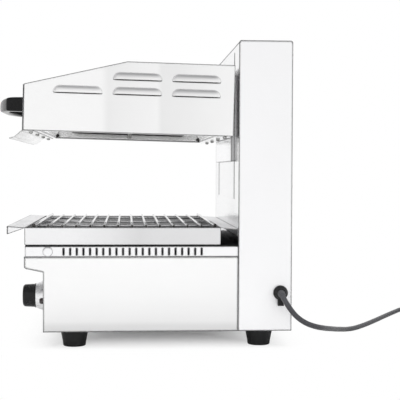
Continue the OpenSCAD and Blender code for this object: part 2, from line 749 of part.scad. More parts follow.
// Three hairpins side by side; both ends of each turn up through the reflector's roof
module heating_elements() color(dark) on_head() for (i = [-1 : 1]) translate([i * 2 * tube_pitch, 0, 0]) {
    run = tube_l - tube_pitch / 2 - bend_r;
    both_sides() translate([tube_pitch / 2, -tube_back, tube_v]) {
        translate([0, -bend_r, 0]) rotate([90, 0, 0]) cylinder(r = tube_r, h = run);
        translate([0, -bend_r, bend_r]) rotate([90, 0, 90]) rotate([0, 0, -90])
            rotate_extrude(angle = 90) translate([bend_r, 0]) circle(tube_r);
        translate([0, 0, bend_r]) cylinder(r = tube_r, h = reflector_h - tube_v - bend_r + stub_h);
    }
    translate([0, -tube_back - bend_r - run, tube_v]) rotate([0, 0, 180])
        rotate_extrude(angle = 180) translate([tube_pitch / 2, 0]) circle(tube_r);
}

bush_h = 20;
module element_bushes() color(white) on_head() for (x = leg_places)
    translate([x, -tube_back, reflector_h]) difference() {
    union() {
        translate([0, 0, -3]) cylinder(r = bush_hole - fit, h = bush_h);
        cylinder(r = bush_hole + 1.5, h = 2.4);
    }
    translate([0, 0, -4]) cylinder(r = tube_r + fit, h = bush_h + 4);
}

hanger_half = 4;
module element_supports() color(bright) on_head() for (x = leg_places)
    translate([x, -tube_back - tube_l / 2, 0]) {
        difference() {
            block([-1.5, -hanger_half, tube_v - tube_r - 7], [1.5, hanger_half, reflector_h - sheet]);
            translate([0, 0, tube_v]) rotate([90, 0, 0]) cylinder(r = tube_r + fit, h = 20, center = true);
            translate([0, 0, tube_v - tube_r - 4]) rotate([0, 90, 0]) cylinder(r = 1.6, h = 20, center = true);
        }
        translate([0, 0, tube_v]) rotate([90, 0, 0]) difference() {
            cylinder(r = tube_r + fit + 1, h = 5, center = true);
            cylinder(r = tube_r + fit, h = 6, center = true);
        }
        translate([0, 0, reflector_h - 2 * sheet]) cylinder(r = screw_r, h = 7);
        translate([0, 0, reflector_h]) cylinder(r = head_r, h = 2.2, $fn = 6);
    }

// ---------- handle ----------

// Radius of an arc through the legs' ends and the bow's nose
function bow_radius(half, rise) = (half * half + rise * rise) / (2 * rise);

module handle_plan() {
    outer_half = leg_x + leg_w / 2;
    outer_r = bow_radius(outer_half, bow);
    difference() {
        union() {
            translate([-outer_half, -leg_l]) square([2 * outer_half, leg_l]);
            intersection() {
                translate([0, -leg_l - bow + outer_r]) circle(outer_r, $fn = 180);
                translate([-outer_half, -leg_l - bow]) square([2 * outer_half, bow + 1]);
            }
        }
        intersection() {
            translate([0, -leg_l - bow + outer_r]) circle(outer_r - grip_t, $fn = 180);
            translate([-leg_x + leg_w / 2, -leg_l - bow]) square([2 * leg_x - leg_w, leg_l + bow + 1]);
        }
        translate([-leg_x + leg_w / 2, -leg_l + grip_t]) square([2 * leg_x - leg_w, leg_l]);
    }
}

module handle() color(dark) on_head() translate([0, -head_l - fit, handle_v - handle_h / 2]) difference() {
    intersection() {
        linear_extrude(handle_h) handle_plan();
        reach = leg_l + bow;
        along_x(3 * leg_x) polygon([[0, 0], [-reach + 8, 0], [-reach + 2, 3], [-reach, 8],
            [-reach, handle_h - 13], [-reach + 3, handle_h - 8], [-reach + 12, handle_h - 4],
            [-leg_l + 10, handle_h - 1], [0, handle_h]]);
    }
    for (x = [-1, 1]) rod_y(screw_r + fit, x * leg_x, -18, 1, handle_h / 2);
}

module handle_screws() color(bright) on_head() for (x = [-1, 1]) {
    rod_y(screw_r, x * leg_x, -head_l - 16, -head_l + sheet + 1, handle_v);
    rod_y(head_r, x * leg_x, -head_l + sheet, -head_l + sheet + 2.2, handle_v);
}

// ---------- control ----------

module turned_y(x, y, z) translate([x, y, z]) rotate([90, 0, 0]) rotate_extrude() children();

skirt_steps = 6;
skirt_y = y_panel - skirt_gap;
hub_r = spindle_r + 3;
collar_r = knob_r + 1;

// Hollow flared skirt; its wall follows the flare at one thickness
module knob_skirt() color(bright) turned_y(knob_x, skirt_y, knob_z) {
    flare = [for (i = [0 : skirt_steps]) let (t = i / skirt_steps)
        [skirt_r - (skirt_r - collar_r) * pow(t, 0.75), skirt_d * t]];
    inside = [for (i = [skirt_steps : -1 : 0]) [flare[i][0] - 1.5 * sheet, min(flare[i][1], skirt_d - sheet)]];
    polygon(concat([[hub_r + fit, skirt_d - sheet]], inside, flare, [[hub_r + fit, skirt_d]]));
}

module knob() color(dark) turned_y(knob_x, skirt_y - skirt_d, knob_z)
    polygon([[hub_r, -8], [hub_r, 0], [collar_r, 0], [collar_r, 1.4], [knob_r, 2.6],
        [knob_r - 1, knob_d - 3], [knob_r - 2.6, knob_d - 1.2], [knob_r - 6, knob_d - 0.4], [0, knob_d],
        [0, knob_d - 6], [spindle_r + fit / 2, knob_d - 6], [spindle_r + fit / 2, -8]]);

y_regulator = y_panel + sheet + fit;
regulator_w = 48;
regulator_h = 40;
regulator_d = 36;
tag_l = 9;
module control_spindle() color(bright)
    rod_y(spindle_r, knob_x, skirt_y - skirt_d - knob_d + 6.2, y_panel + sheet + 22, knob_z);

module energy_regulator() color(grey) difference() {
    union() {
        block([knob_x - regulator_w / 2, y_regulator, knob_z - regulator_h / 2],
              [knob_x + regulator_w / 2, y_regulator + regulator_d, knob_z + regulator_h / 2]);
        for (i = [-1 : 1]) block([knob_x + i * 13 - 3, y_regulator + regulator_d - 1, knob_z - 4],
                                 [knob_x + i * 13 + 3, y_regulator + regulator_d + tag_l, knob_z - 3]);
    }
    rod_y(spindle_r + bush_gap, knob_x, y_panel, y_regulator + 24, knob_z);
}

module pilot_lamp() color([0.12, 0.05, 0.04]) {
    rod_y(lamp_r - 0.5, lamp_x, y_panel - 1, y_panel + 24, lamp_z);
    rod_y(lamp_r, lamp_x, y_panel - lamp_out + 3, y_panel, lamp_z);
    translate([lamp_x, y_panel - lamp_out, lamp_z]) rotate([-90, 0, 0])
        cylinder(r1 = lamp_r - 2, r2 = lamp_r, h = 3);
    rod_y(lamp_r + 1.5, lamp_x, y_panel + sheet + fit, y_panel + sheet + 4, lamp_z);
}

// ---------- wiring ----------

block_at = [arm_x, y_col + 52, z_floor + sheet];
block_size = [40, 18, 14];
post_r = 3.4;
post_pitch = 9;
module terminal_block() color(white) {
    block(block_at, block_at + block_size);
    for (i = [-1, 1, 2])
        translate(block_at + [lead_x - arm_x + post_pitch * i, block_size[1] / 2, block_size[2] - 1])
            cylinder(r = post_r, h = 5);
}

module tube_along(path, r) for (i = [0 : len(path) - 2]) {
    a = path[i];
    d = path[i + 1] - a;
    tilt = acos(d[2] / norm(d));
    turn = atan2(d[1], d[0]);
    translate(a) rotate([0, tilt, turn]) cylinder(r = r, h = norm(d), $fn = 12);
    translate(a) sphere(r, $fn = 12);
}

lead_r = 2.5;
module base_leads() color(dark) {
    lead_z = z_floor + sheet + lead_r + fit;
    tube_along([
        [knob_x, y_regulator + regulator_d + tag_l + lead_r, knob_z - 3],
        [knob_x, y_regulator + regulator_d + 24, knob_z - 12],
        [knob_x, y_regulator + regulator_d + 54, lead_z],
        [knob_x, block_at[1] - 60, lead_z],
        [block_at[0] + 12, block_at[1] - 30, lead_z],
        [block_at[0] + 12, block_at[1] - lead_r - 0.5, lead_z],
    ], lead_r);
}

// Flexible lead to the head: rises from the terminal block to the clip on the bracket's arm
lead_x = arm_x + 14;
lead_clip_z = arm_z0 + 10;
module head_lead() color(dark)
    translate([lead_x, block_at[1] + block_size[1] / 2, block_at[2] + block_size[2]])
        cylinder(r = 3.5, h = lead_clip_z - block_at[2] - block_size[2]);

// ---------- power cord ----------

y_gland = y_back - gland_y;
module cord_gland() color(dark) {
    rod_x_at(gland_r - 3, half_w - 12, half_w + 1, y_gland, gland_z);
    rod_x_at(gland_r, half_w, half_w + 4, y_gland, gland_z);
    translate([half_w + 4, y_gland, gland_z]) rotate([0, 90, 0])
        cylinder(r1 = gland_r, r2 = cord_r + 3, h = gland_out - 5);
    difference() {
        block([half_w + 2, y_gland - 5, gland_z - 22], [half_w + 8, y_gland + 5, gland_z]);
        translate([half_w, y_gland, gland_z - 22]) rotate([0, 45, 0]) cube([6, 20, 6], center = true);
    }
}

sides = 10;
function tangent(path, i) = unit(path[min(i + 1, len(path) - 1)] - path[max(i - 1, 0)]);
function ring_at(path, i, r) =
    let (t = tangent(path, i), u = unit(cross(t, [0.13, 0.21, 1])), v = cross(u, t))
    [for (k = [0 : sides - 1]) path[i] + r * (cos(360 * k / sides) * u + sin(360 * k / sides) * v)];

module swept(path, r) {
    n = len(path);
    points = [for (i = [0 : n - 1]) each ring_at(path, i, r)];
    walls = [for (i = [0 : n - 2], k = [0 : sides - 1]) let (a = i * sides + k, b = i * sides + (k + 1) % sides)
        each [[a, b, b + sides], [a, b + sides, a + sides]]];
    caps = [[for (k = [sides - 1 : -1 : 0]) k], [for (k = [0 : sides - 1]) (n - 1) * sides + k]];
    polyhedron(points, concat(walls, caps));
}

module power_cord() color(dark) {
    swept(cord_route, cord_r);
    swept(tail_route, cord_r);
}

module cord_coil() color(dark) translate([coil_centre[0], coil_centre[1], 0]) rotate_extrude()
    translate([coil_r - coil_bundle, 0.2]) square([2 * coil_bundle, 2 * coil_bundle]);

module mains_plug() color(dark) translate(plug_at) rotate([0, 90, 0]) {
    cylinder(r1 = 8, r2 = 18.5, h = 26);
    translate([0, 0, 26]) cylinder(r = 18.5, h = 22);
    for (y = [-9.5, 9.5]) translate([0, y, 47]) cylinder(r = 2.4, h = 20);
}

// ---------- tray and rack ----------

lip_y0 = y_tray - flange_l + sheet;
lip_y1 = y_col - tray_lift - sheet;
tray_path = [
    [lip_y0, z_rim + flange_rise - lip_h], [lip_y0, z_rim + flange_rise - sheet], [y_tray, z_rim - sheet],
    [y_tray, z_tray + tray_bend], [y_tray + tray_bend * 0.3, z_tray + tray_bend * 0.3], [y_tray + tray_bend, z_tray],
    [y_tray_rear - tray_bend, z_tray], [y_tray_rear - tray_bend * 0.3, z_tray + tray_bend * 0.3],
    [y_tray_rear, z_tray + tray_bend], [y_tray_rear, z_rim - sheet], [lip_y1, z_rim - sheet - flange_fall],
    [lip_y1, z_rim - flange_fall - lip_h],
];

// Pan folded from one sheet; its ends are closed by the welded side plates
module grill_tray() color(steel) folded(tray_path, sheet, tray_w - 2 * (sheet + fit));

plate_nick = 1.5;
module tray_sides() color(steel) both_sides() translate([tray_w / 2 - sheet / 2, 0, 0]) along_x(sheet) {
    polygon([
        [y_tray, z_rim], [y_tray, z_tray + plate_nick], [y_tray + plate_nick, z_tray],
        [y_tray_rear - plate_nick, z_tray], [y_tray_rear, z_tray + plate_nick], [y_tray_rear, z_rim],
    ]);
    polygon([[lip_y0, z_rim + flange_rise - fit], [lip_y0, z_rim + flange_rise - lip_h], [y_tray, z_rim - sheet],
        [y_tray, z_rim]]);
}

rack_y0 = y_tray + (tray_l - rack_l) / 2 + rack_back;
rack_z = z_rim + tray_lift;
module wire_rack() color(bright) {
    rack_w = tray_w - 1;
    gap = rack_l / (cross_wires + 1);
    for (y = [rack_y0, rack_y0 + rack_l]) translate([-rack_w / 2, y, rack_z + rod_r]) rotate([0, 90, 0])
        cylinder(r = rod_r, h = rack_w, $fn = 12);
    for (i = [1 : cross_wires]) translate([-rack_w / 2, rack_y0 + i * gap, rack_z + wire_r]) rotate([0, 90, 0])
        cylinder(r = wire_r, h = rack_w, $fn = 8);
    for (i = [0 : long_wires - 1])
        translate([(i - (long_wires - 1) / 2) * tray_w / long_wires, rack_y0, rack_z - wire_r * 0.7])
            rotate([-90, 0, 0]) cylinder(r = wire_r, h = rack_l, $fn = 8);
}

base_casing();
control_panel();
bottom_plate();
bottom_screws();
rubber_feet();
foot_screws();
vent_band();
side_plugs();
top_deck();
column_casing();
column_front();
column_back();
cover_screws();
guide_rods();
upper_rod_bracket();
lower_rod_bracket();
spring_anchor();
balance_springs();
cable_wraps();
energy_regulator();
pilot_lamp();
terminal_block();
base_leads();
head_lead();
cord_gland();
power_cord();
cord_coil();
mains_plug();
lift_bracket();
carriage();
linear_bushings();
head_bolts();
bracket_spacers();
head_casing();
head_front();
head_rear();
bottom_frame();
frame_screws();
front_deflector();
reflector();
insulation();
heating_elements();
element_bushes();
element_supports();
handle();
handle_screws();
lift_cables();
spring_heads();
spring_cables();
pulley_shaft();
cable_pulleys();
knob();
knob_skirt();
control_spindle();
grill_tray();
tray_sides();
wire_rack();
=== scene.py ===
"""Finishes and detail pieces of a rise-and-fall grill, laid out as an add-on and run as a script."""

import math

import bmesh
import bpy
from mathutils import Matrix, Vector


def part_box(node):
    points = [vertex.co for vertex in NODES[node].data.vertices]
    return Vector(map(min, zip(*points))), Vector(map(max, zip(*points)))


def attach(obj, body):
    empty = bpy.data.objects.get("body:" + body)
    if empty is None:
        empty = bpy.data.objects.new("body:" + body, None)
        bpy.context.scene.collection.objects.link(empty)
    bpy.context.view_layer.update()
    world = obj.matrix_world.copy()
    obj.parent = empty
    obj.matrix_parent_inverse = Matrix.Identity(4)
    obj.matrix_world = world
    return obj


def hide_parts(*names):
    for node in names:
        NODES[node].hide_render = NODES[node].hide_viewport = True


bl_info = {
    "name": "Rise and Fall Grill",
    "version": (1, 0, 0),
    "blender": (4, 5, 0),
    "location": "View3D > Sidebar > Grill",
    "description": "Sheet steel finishes, mains cord, handle, control and rack of a rise-and-fall grill",
    "category": "Object",
}

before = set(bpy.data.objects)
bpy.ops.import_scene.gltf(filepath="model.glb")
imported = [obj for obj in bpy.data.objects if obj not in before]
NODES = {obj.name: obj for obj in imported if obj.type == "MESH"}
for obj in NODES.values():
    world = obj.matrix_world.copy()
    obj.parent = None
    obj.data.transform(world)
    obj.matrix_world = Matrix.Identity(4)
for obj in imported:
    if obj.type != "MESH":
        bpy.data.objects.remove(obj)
MM = 0.001
# How far the flat side panels of the base and the column lie from the middle
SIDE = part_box("base_casing")[1].x


# ---------- colours and nodes ----------

# Sockets of a colour mix, which has the same names again for its other kinds of data
SHARE, FIRST, SECOND = 0, 6, 7


def linear(hex_value):
    """sRGB hex text to linear RGBA."""
    parts = [int(hex_value[i : i + 2], 16) / 255 for i in (1, 3, 5)]
    return (*[c / 12.92 if c <= 0.04045 else ((c + 0.055) / 1.055) ** 2.4 for c in parts], 1.0)


WHITE = linear("#FFFFFF")


def scaled(tone, share, lift=0.0):
    """A colour made darker or lighter, with full alpha."""
    return (*[min(1.0, c * share + lift) for c in tone[:3]], 1.0)


def add(tree, kind, inputs=None, **settings):
    """Add a node with its settings, and set or link its inputs. A node given for an input stands for the first of
    its outputs that is in use."""
    made = tree.nodes.new(kind)
    for key, value in settings.items():
        setattr(made, key, value)
    for key, value in (inputs or {}).items():
        if isinstance(value, bpy.types.Node):
            value = next(out for out in value.outputs if out.enabled)
        if isinstance(value, bpy.types.NodeSocket):
            tree.links.new(value, made.inputs[key])
        else:
            made.inputs[key].default_value = value
    return made


def blank(name):
    """A new material, its empty node tree, and the object's own coordinates in it."""
    made = bpy.data.materials.new(name)
    made.use_nodes = True
    tree = made.node_tree
    tree.nodes.clear()
    return made, tree, add(tree, "ShaderNodeTexCoord").outputs["Object"]


# ---------- finishes: each takes a node tree, coordinates and a colour, and gives the shader ----------

# Hairlines are 160 mm long and run along Y on the sides, and along X on panels that face front or back. The real
# ones lie 0.1 mm apart; these lie 1.4 mm apart so that they show.
HAIR, STROKE = 1 / (1.4 * MM), 1 / (160 * MM)
GRAIN_SIDE = (HAIR, STROKE, HAIR)
GRAIN_FACE = (STROKE, HAIR, HAIR)
# Slow waves 200, 133 and 625 mm long along X, Y and Z, and wiping smears 71 mm across, per metre
WAVES = (5.0, 7.5, 1.6)
SMEARS = 14.0

# Lanes: (place along an axis in metres, brightness), which multiply a panel's colour between those places
# Painted reflection on the head's casing: two sharp steps to darker bands along Y, where the mirrored soft lamps
# end
HEAD_REFLECTION_LANES = [(-0.2, 1.0), (-0.066, 0.985), (-0.054, 0.9), (0.029, 0.955), (0.037, 0.875), (0.16, 0.965)]
# The tray's end plates are darker from the middle to the back
END_PLATE_LANES = [(-0.196, 0.97), (-0.12, 0.96), (-0.05, 0.87), (0.0, 0.77), (0.03, 0.8), (0.14, 0.82)]
# Fat and heat have darkened the tray between its flanges
TRAY_LANES = [(-0.23, 1.0), (-0.196, 1.0), (-0.194, 0.27), (0.138, 0.27), (0.1405, 1.0), (0.17, 1.0)]
# Painted shade on the lift bracket: the arms' sides, in shadow in the gap between the head and the column, are
# darker than the front web
ARM_SHADE_LANES = [(0.15, 1.0), (0.16385, 1.0), (0.1641, 0.42), (0.17, 0.5), (0.172, 0.7), (0.23, 0.8)]
# Painted shade on the base: darker towards the table, standing for the shadowed floor close by that the sheet
# mirrors
BASE_SHADE_LANES = [(0.03, 0.72), (0.04, 0.78), (0.047, 0.87), (0.06, 0.905), (0.075, 0.93), (0.09, 0.955),
              (0.115, 0.98), (0.156, 1.0), (0.16, 1.0)]


def folded_edge(tree, space, fold, colour, line):
    """Painted shade: darken a colour where a bevel turns the surface, as a dark line along the edges and in the
    folds of sheet where the rounded surface turns from the light.
    """
    face = add(tree, "ShaderNodeNewGeometry").outputs["Normal"]
    turn = add(tree, "ShaderNodeVectorMath", {0: fold, 1: face}, operation="DOT_PRODUCT")
    bent = add(tree, "ShaderNodeMapRange", {"Value": turn, "From Min": 0.995, "From Max": 0.88})
    # What the press pushed out past the side panels, the louvres' rounded lips, gets hardly any of this painted
    # edge shade
    across = add(tree, "ShaderNodeSeparateXYZ", {0: space}).outputs["X"]
    apart = add(tree, "ShaderNodeMath", {0: across}, operation="ABSOLUTE")
    flush = add(tree, "ShaderNodeMapRange", {
        "Value": apart, "From Min": SIDE + 0.3 * MM, "From Max": SIDE + 1.0 * MM,
        "To Min": 1.0, "To Max": 0.05})
    edge_shade = add(tree, "ShaderNodeMath", {0: bent, 1: flush}, operation="MULTIPLY")
    return add(tree, "ShaderNodeMix", {SHARE: edge_shade, FIRST: colour, SECOND: linear(line)}, data_type="RGBA")


def belt_lanes(tree, space, colour, lanes, axis):
    """Multiply a colour by the lanes along an axis of the object: painted reflection and shade on the head, the
    base and the bracket arms, fat stains on the tray, and darker tones on its end plates.
    """
    start, end = lanes[0][0], lanes[-1][0]
    along = add(tree, "ShaderNodeSeparateXYZ", {0: space}).outputs[axis]
    place = add(tree, "ShaderNodeMapRange", {"Value": along, "From Min": start, "From Max": end})
    ramp = add(tree, "ShaderNodeValToRGB", {0: place})
    stops = ramp.color_ramp.elements
    for at, grey in lanes:
        share = (at - start) / (end - start)
        stop = stops.new(share) if 0 < share < 1 else stops[0 if share == 0 else len(stops) - 1]
        stop.color = (grey, grey, grey, 1.0)
    return add(tree, "ShaderNodeMix", {SHARE: 1.0, FIRST: colour, SECOND: ramp}, data_type="RGBA",
               blend_type="MULTIPLY")


def brushed_sheet(tree, space, tone, low=0.3, high=0.42, grain=GRAIN_SIDE, wave=1.2, line="#2C2C2E", lanes=(),
                  axis=1, edge_shade=3):
    """Steel sheet drawn over an abrasive belt, or rolled: long parallel hairlines and a soft shine broken along
    them, on a panel that is never quite flat. Its slow waves are wave mm high, and painted shade darkens its edges
    and folds over edge_shade mm."""
    stretch = add(tree, "ShaderNodeMapping", {"Vector": space, "Scale": grain})
    lines = add(tree, "ShaderNodeTexNoise", {"Vector": stretch, "Scale": 1.0, "Detail": 3.0})
    wide = add(tree, "ShaderNodeMapping", {"Vector": space, "Scale": WAVES})
    waves = add(tree, "ShaderNodeTexNoise", {"Vector": wide, "Scale": 1.0, "Detail": 0.0})
    smear = add(tree, "ShaderNodeTexNoise", {"Vector": space, "Scale": SMEARS, "Detail": 4.0})
    shine = add(tree, "ShaderNodeMapRange", {
        "Value": lines, "From Min": 0.3, "From Max": 0.7, "To Min": low, "To Max": high})
    wiped = add(tree, "ShaderNodeMapRange", {
        "Value": smear, "From Min": 0.35, "From Max": 0.7, "To Min": -0.02, "To Max": 0.05})
    rough = add(tree, "ShaderNodeMath", {0: shine, 1: wiped}, operation="ADD")
    colour = add(tree, "ShaderNodeMix", {SHARE: lines, FIRST: scaled(tone, 0.975), SECOND: tone},
                 data_type="RGBA")
    if lanes:
        colour = belt_lanes(tree, space, colour, lanes, axis)
    fold = add(tree, "ShaderNodeBevel", {"Radius": edge_shade * MM}, samples=8)
    flat = add(tree, "ShaderNodeBump", {"Height": waves, "Distance": wave * MM, "Normal": fold})
    hair = add(tree, "ShaderNodeBump", {"Height": lines, "Distance": 0.03 * MM, "Strength": 0.5, "Normal": flat})
    return add(tree, "ShaderNodeBsdfPrincipled", {
        "Base Color": folded_edge(tree, space, fold, colour, line), "Metallic": 1.0, "Roughness": rough,
        "Normal": hair})


def zinc_sheet(tree, space, tone):
    """Hot-dip galvanised sheet: flat frosty crystals 12 mm across, each of a slightly different grey."""
    cells = add(tree, "ShaderNodeTexVoronoi", {"Vector": space, "Scale": 1 / (12 * MM), "Randomness": 1.0})
    grey = add(tree, "ShaderNodeSeparateColor", {"Color": cells.outputs["Color"]})
    colour = add(tree, "ShaderNodeMix", {SHARE: grey, FIRST: scaled(tone, 0.72), SECOND: tone}, data_type="RGBA")
    shine = add(tree, "ShaderNodeMapRange", {"Value": grey.outputs["Green"], "To Min": 0.38, "To Max": 0.58})
    return add(tree, "ShaderNodeBsdfPrincipled", {"Base Color": colour, "Metallic": 1.0, "Roughness": shine})


def turned_metal(tree, space, tone, low, high, pitch, roll=0.9, line="#2A2A2C"):
    """Machined, drawn or spun metal: tool marks pitch mm apart break up an even shine, and painted shade darkens
    the rolled edge, roll mm wide."""
    marks = add(tree, "ShaderNodeTexNoise", {"Vector": space, "Scale": 1 / (pitch * MM), "Detail": 3.0})
    shine = add(tree, "ShaderNodeMapRange", {
        "Value": marks, "From Min": 0.3, "From Max": 0.7, "To Min": low, "To Max": high})
    colour = add(tree, "ShaderNodeMix", {SHARE: marks, FIRST: scaled(tone, 0.88), SECOND: tone}, data_type="RGBA")
    fold = add(tree, "ShaderNodeBevel", {"Radius": roll * MM}, samples=6)
    edge = folded_edge(tree, space, fold, colour, line)
    bump = add(tree, "ShaderNodeBump", {"Height": marks, "Distance": 0.02 * MM, "Normal": fold})
    return add(tree, "ShaderNodeBsdfPrincipled", {
        "Base Color": edge, "Metallic": 1.0, "Roughness": shine, "Normal": bump})


def heat_oxide(tree, space, tone):
    """Metal after firing: a dry grey-black oxide with lighter rubbed patches 6 mm long."""
    patch = add(tree, "ShaderNodeTexNoise", {"Vector": space, "Scale": 1 / (6 * MM), "Detail": 5.0})
    rubbed = add(tree, "ShaderNodeMapRange", {"Value": patch, "From Min": 0.45, "From Max": 0.75})
    colour = add(tree, "ShaderNodeMix", {
        SHARE: rubbed, FIRST: tone, SECOND: scaled(tone, 2.6, 0.02)}, data_type="RGBA")
    bump = add(tree, "ShaderNodeBump", {"Height": patch, "Distance": 0.1 * MM})
    return add(tree, "ShaderNodeBsdfPrincipled", {
        "Base Color": colour, "Metallic": 0.4, "Roughness": 0.62, "Normal": bump})


def satin_moulding(tree, space, tone, low, high, grit, ior, sheen=0.0, level=0.28):
    """Moulded black plastic or rubber: the tool's spark texture, grit mm across, scatters a soft highlight, and
    hands have rubbed it in places 45 mm across."""
    grain = add(tree, "ShaderNodeTexNoise", {"Vector": space, "Scale": 1 / (grit * MM), "Detail": 4.0})
    rubbed = add(tree, "ShaderNodeTexNoise", {"Vector": space, "Scale": 22.0, "Detail": 2.0})
    shine = add(tree, "ShaderNodeMapRange", {
        "Value": rubbed, "From Min": 0.3, "From Max": 0.7, "To Min": low, "To Max": high})
    colour = add(tree, "ShaderNodeMix", {
        SHARE: rubbed, FIRST: tone, SECOND: scaled(tone, 1.5, 0.004)}, data_type="RGBA")
    fold = add(tree, "ShaderNodeBevel", {"Radius": 0.8 * MM}, samples=4)
    bump = add(tree, "ShaderNodeBump", {"Height": grain, "Distance": 0.06 * MM, "Normal": fold})
    return add(tree, "ShaderNodeBsdfPrincipled", {
        "Base Color": colour, "Roughness": shine, "IOR": ior, "Specular IOR Level": level,
        "Sheen Weight": sheen, "Normal": bump})


def fired_ceramic(tree, space, tone):
    """Unglazed steatite: chalky off-white with faint warm firing specks 1.5 mm apart and no shine."""
    specks = add(tree, "ShaderNodeTexNoise", {"Vector": space, "Scale": 1 / (1.5 * MM), "Detail": 2.0})
    warm = (*[c * f for c, f in zip(tone, (0.86, 0.82, 0.75))], 1.0)
    share = add(tree, "ShaderNodeMapRange", {"Value": specks, "From Min": 0.3, "From Max": 0.62})
    colour = add(tree, "ShaderNodeMix", {SHARE: share, FIRST: warm, SECOND: tone}, data_type="RGBA")
    bump = add(tree, "ShaderNodeBump", {"Height": specks, "Distance": 0.05 * MM})
    return add(tree, "ShaderNodeBsdfPrincipled", {
        "Base Color": colour, "Roughness": 0.72, "IOR": 1.55, "Normal": bump})


def fibre_board(tree, space, tone):
    """Pressed mineral fibre: matted threads 2 mm long, soft and dull, with a loose nap."""
    thread = add(tree, "ShaderNodeTexNoise", {
        "Vector": space, "Scale": 1 / (2 * MM), "Detail": 6.0, "Distortion": 1.2})
    colour = add(tree, "ShaderNodeMix", {SHARE: thread, FIRST: scaled(tone, 0.7), SECOND: tone}, data_type="RGBA")
    bump = add(tree, "ShaderNodeBump", {"Height": thread, "Distance": 0.6 * MM})
    return add(tree, "ShaderNodeBsdfPrincipled", {
        "Base Color": colour, "Roughness": 0.95, "Sheen Weight": 0.2, "Normal": bump})


def lamp_polycarbonate(tree, space, tone):
    """Dark red polycarbonate lens, moulded with prisms 6 mm wide: a wet gloss over a dim, deep colour."""
    # This texture repeats every 2 pi / (20 * scale) metres
    prism = add(tree, "ShaderNodeTexWave", {"Vector": space, "Scale": 50.0}, bands_direction="Z")
    colour = add(tree, "ShaderNodeMix", {SHARE: prism.outputs["Fac"], FIRST: scaled(tone, 0.55), SECOND: tone},
                 data_type="RGBA")
    bump = add(tree, "ShaderNodeBump", {"Height": prism.outputs["Fac"], "Distance": 0.1 * MM})
    return add(tree, "ShaderNodeBsdfPrincipled", {
        "Base Color": colour, "Roughness": 0.12, "IOR": 1.58, "Coat Weight": 0.4,
        "Coat Roughness": 0.05, "Normal": bump})


def printed_ink(tree, space, tone):
    """Screen-printed ink on steel: matt, slightly uneven where the screen laid it, in dots 0.8 mm apart."""
    dots = add(tree, "ShaderNodeTexNoise", {"Vector": space, "Scale": 1 / (0.8 * MM), "Detail": 2.0})
    colour = add(tree, "ShaderNodeMix", {
        SHARE: dots, FIRST: tone, SECOND: scaled(tone, 1.4, 0.01)}, data_type="RGBA")
    return add(tree, "ShaderNodeBsdfPrincipled", {"Base Color": colour, "Roughness": 0.55})


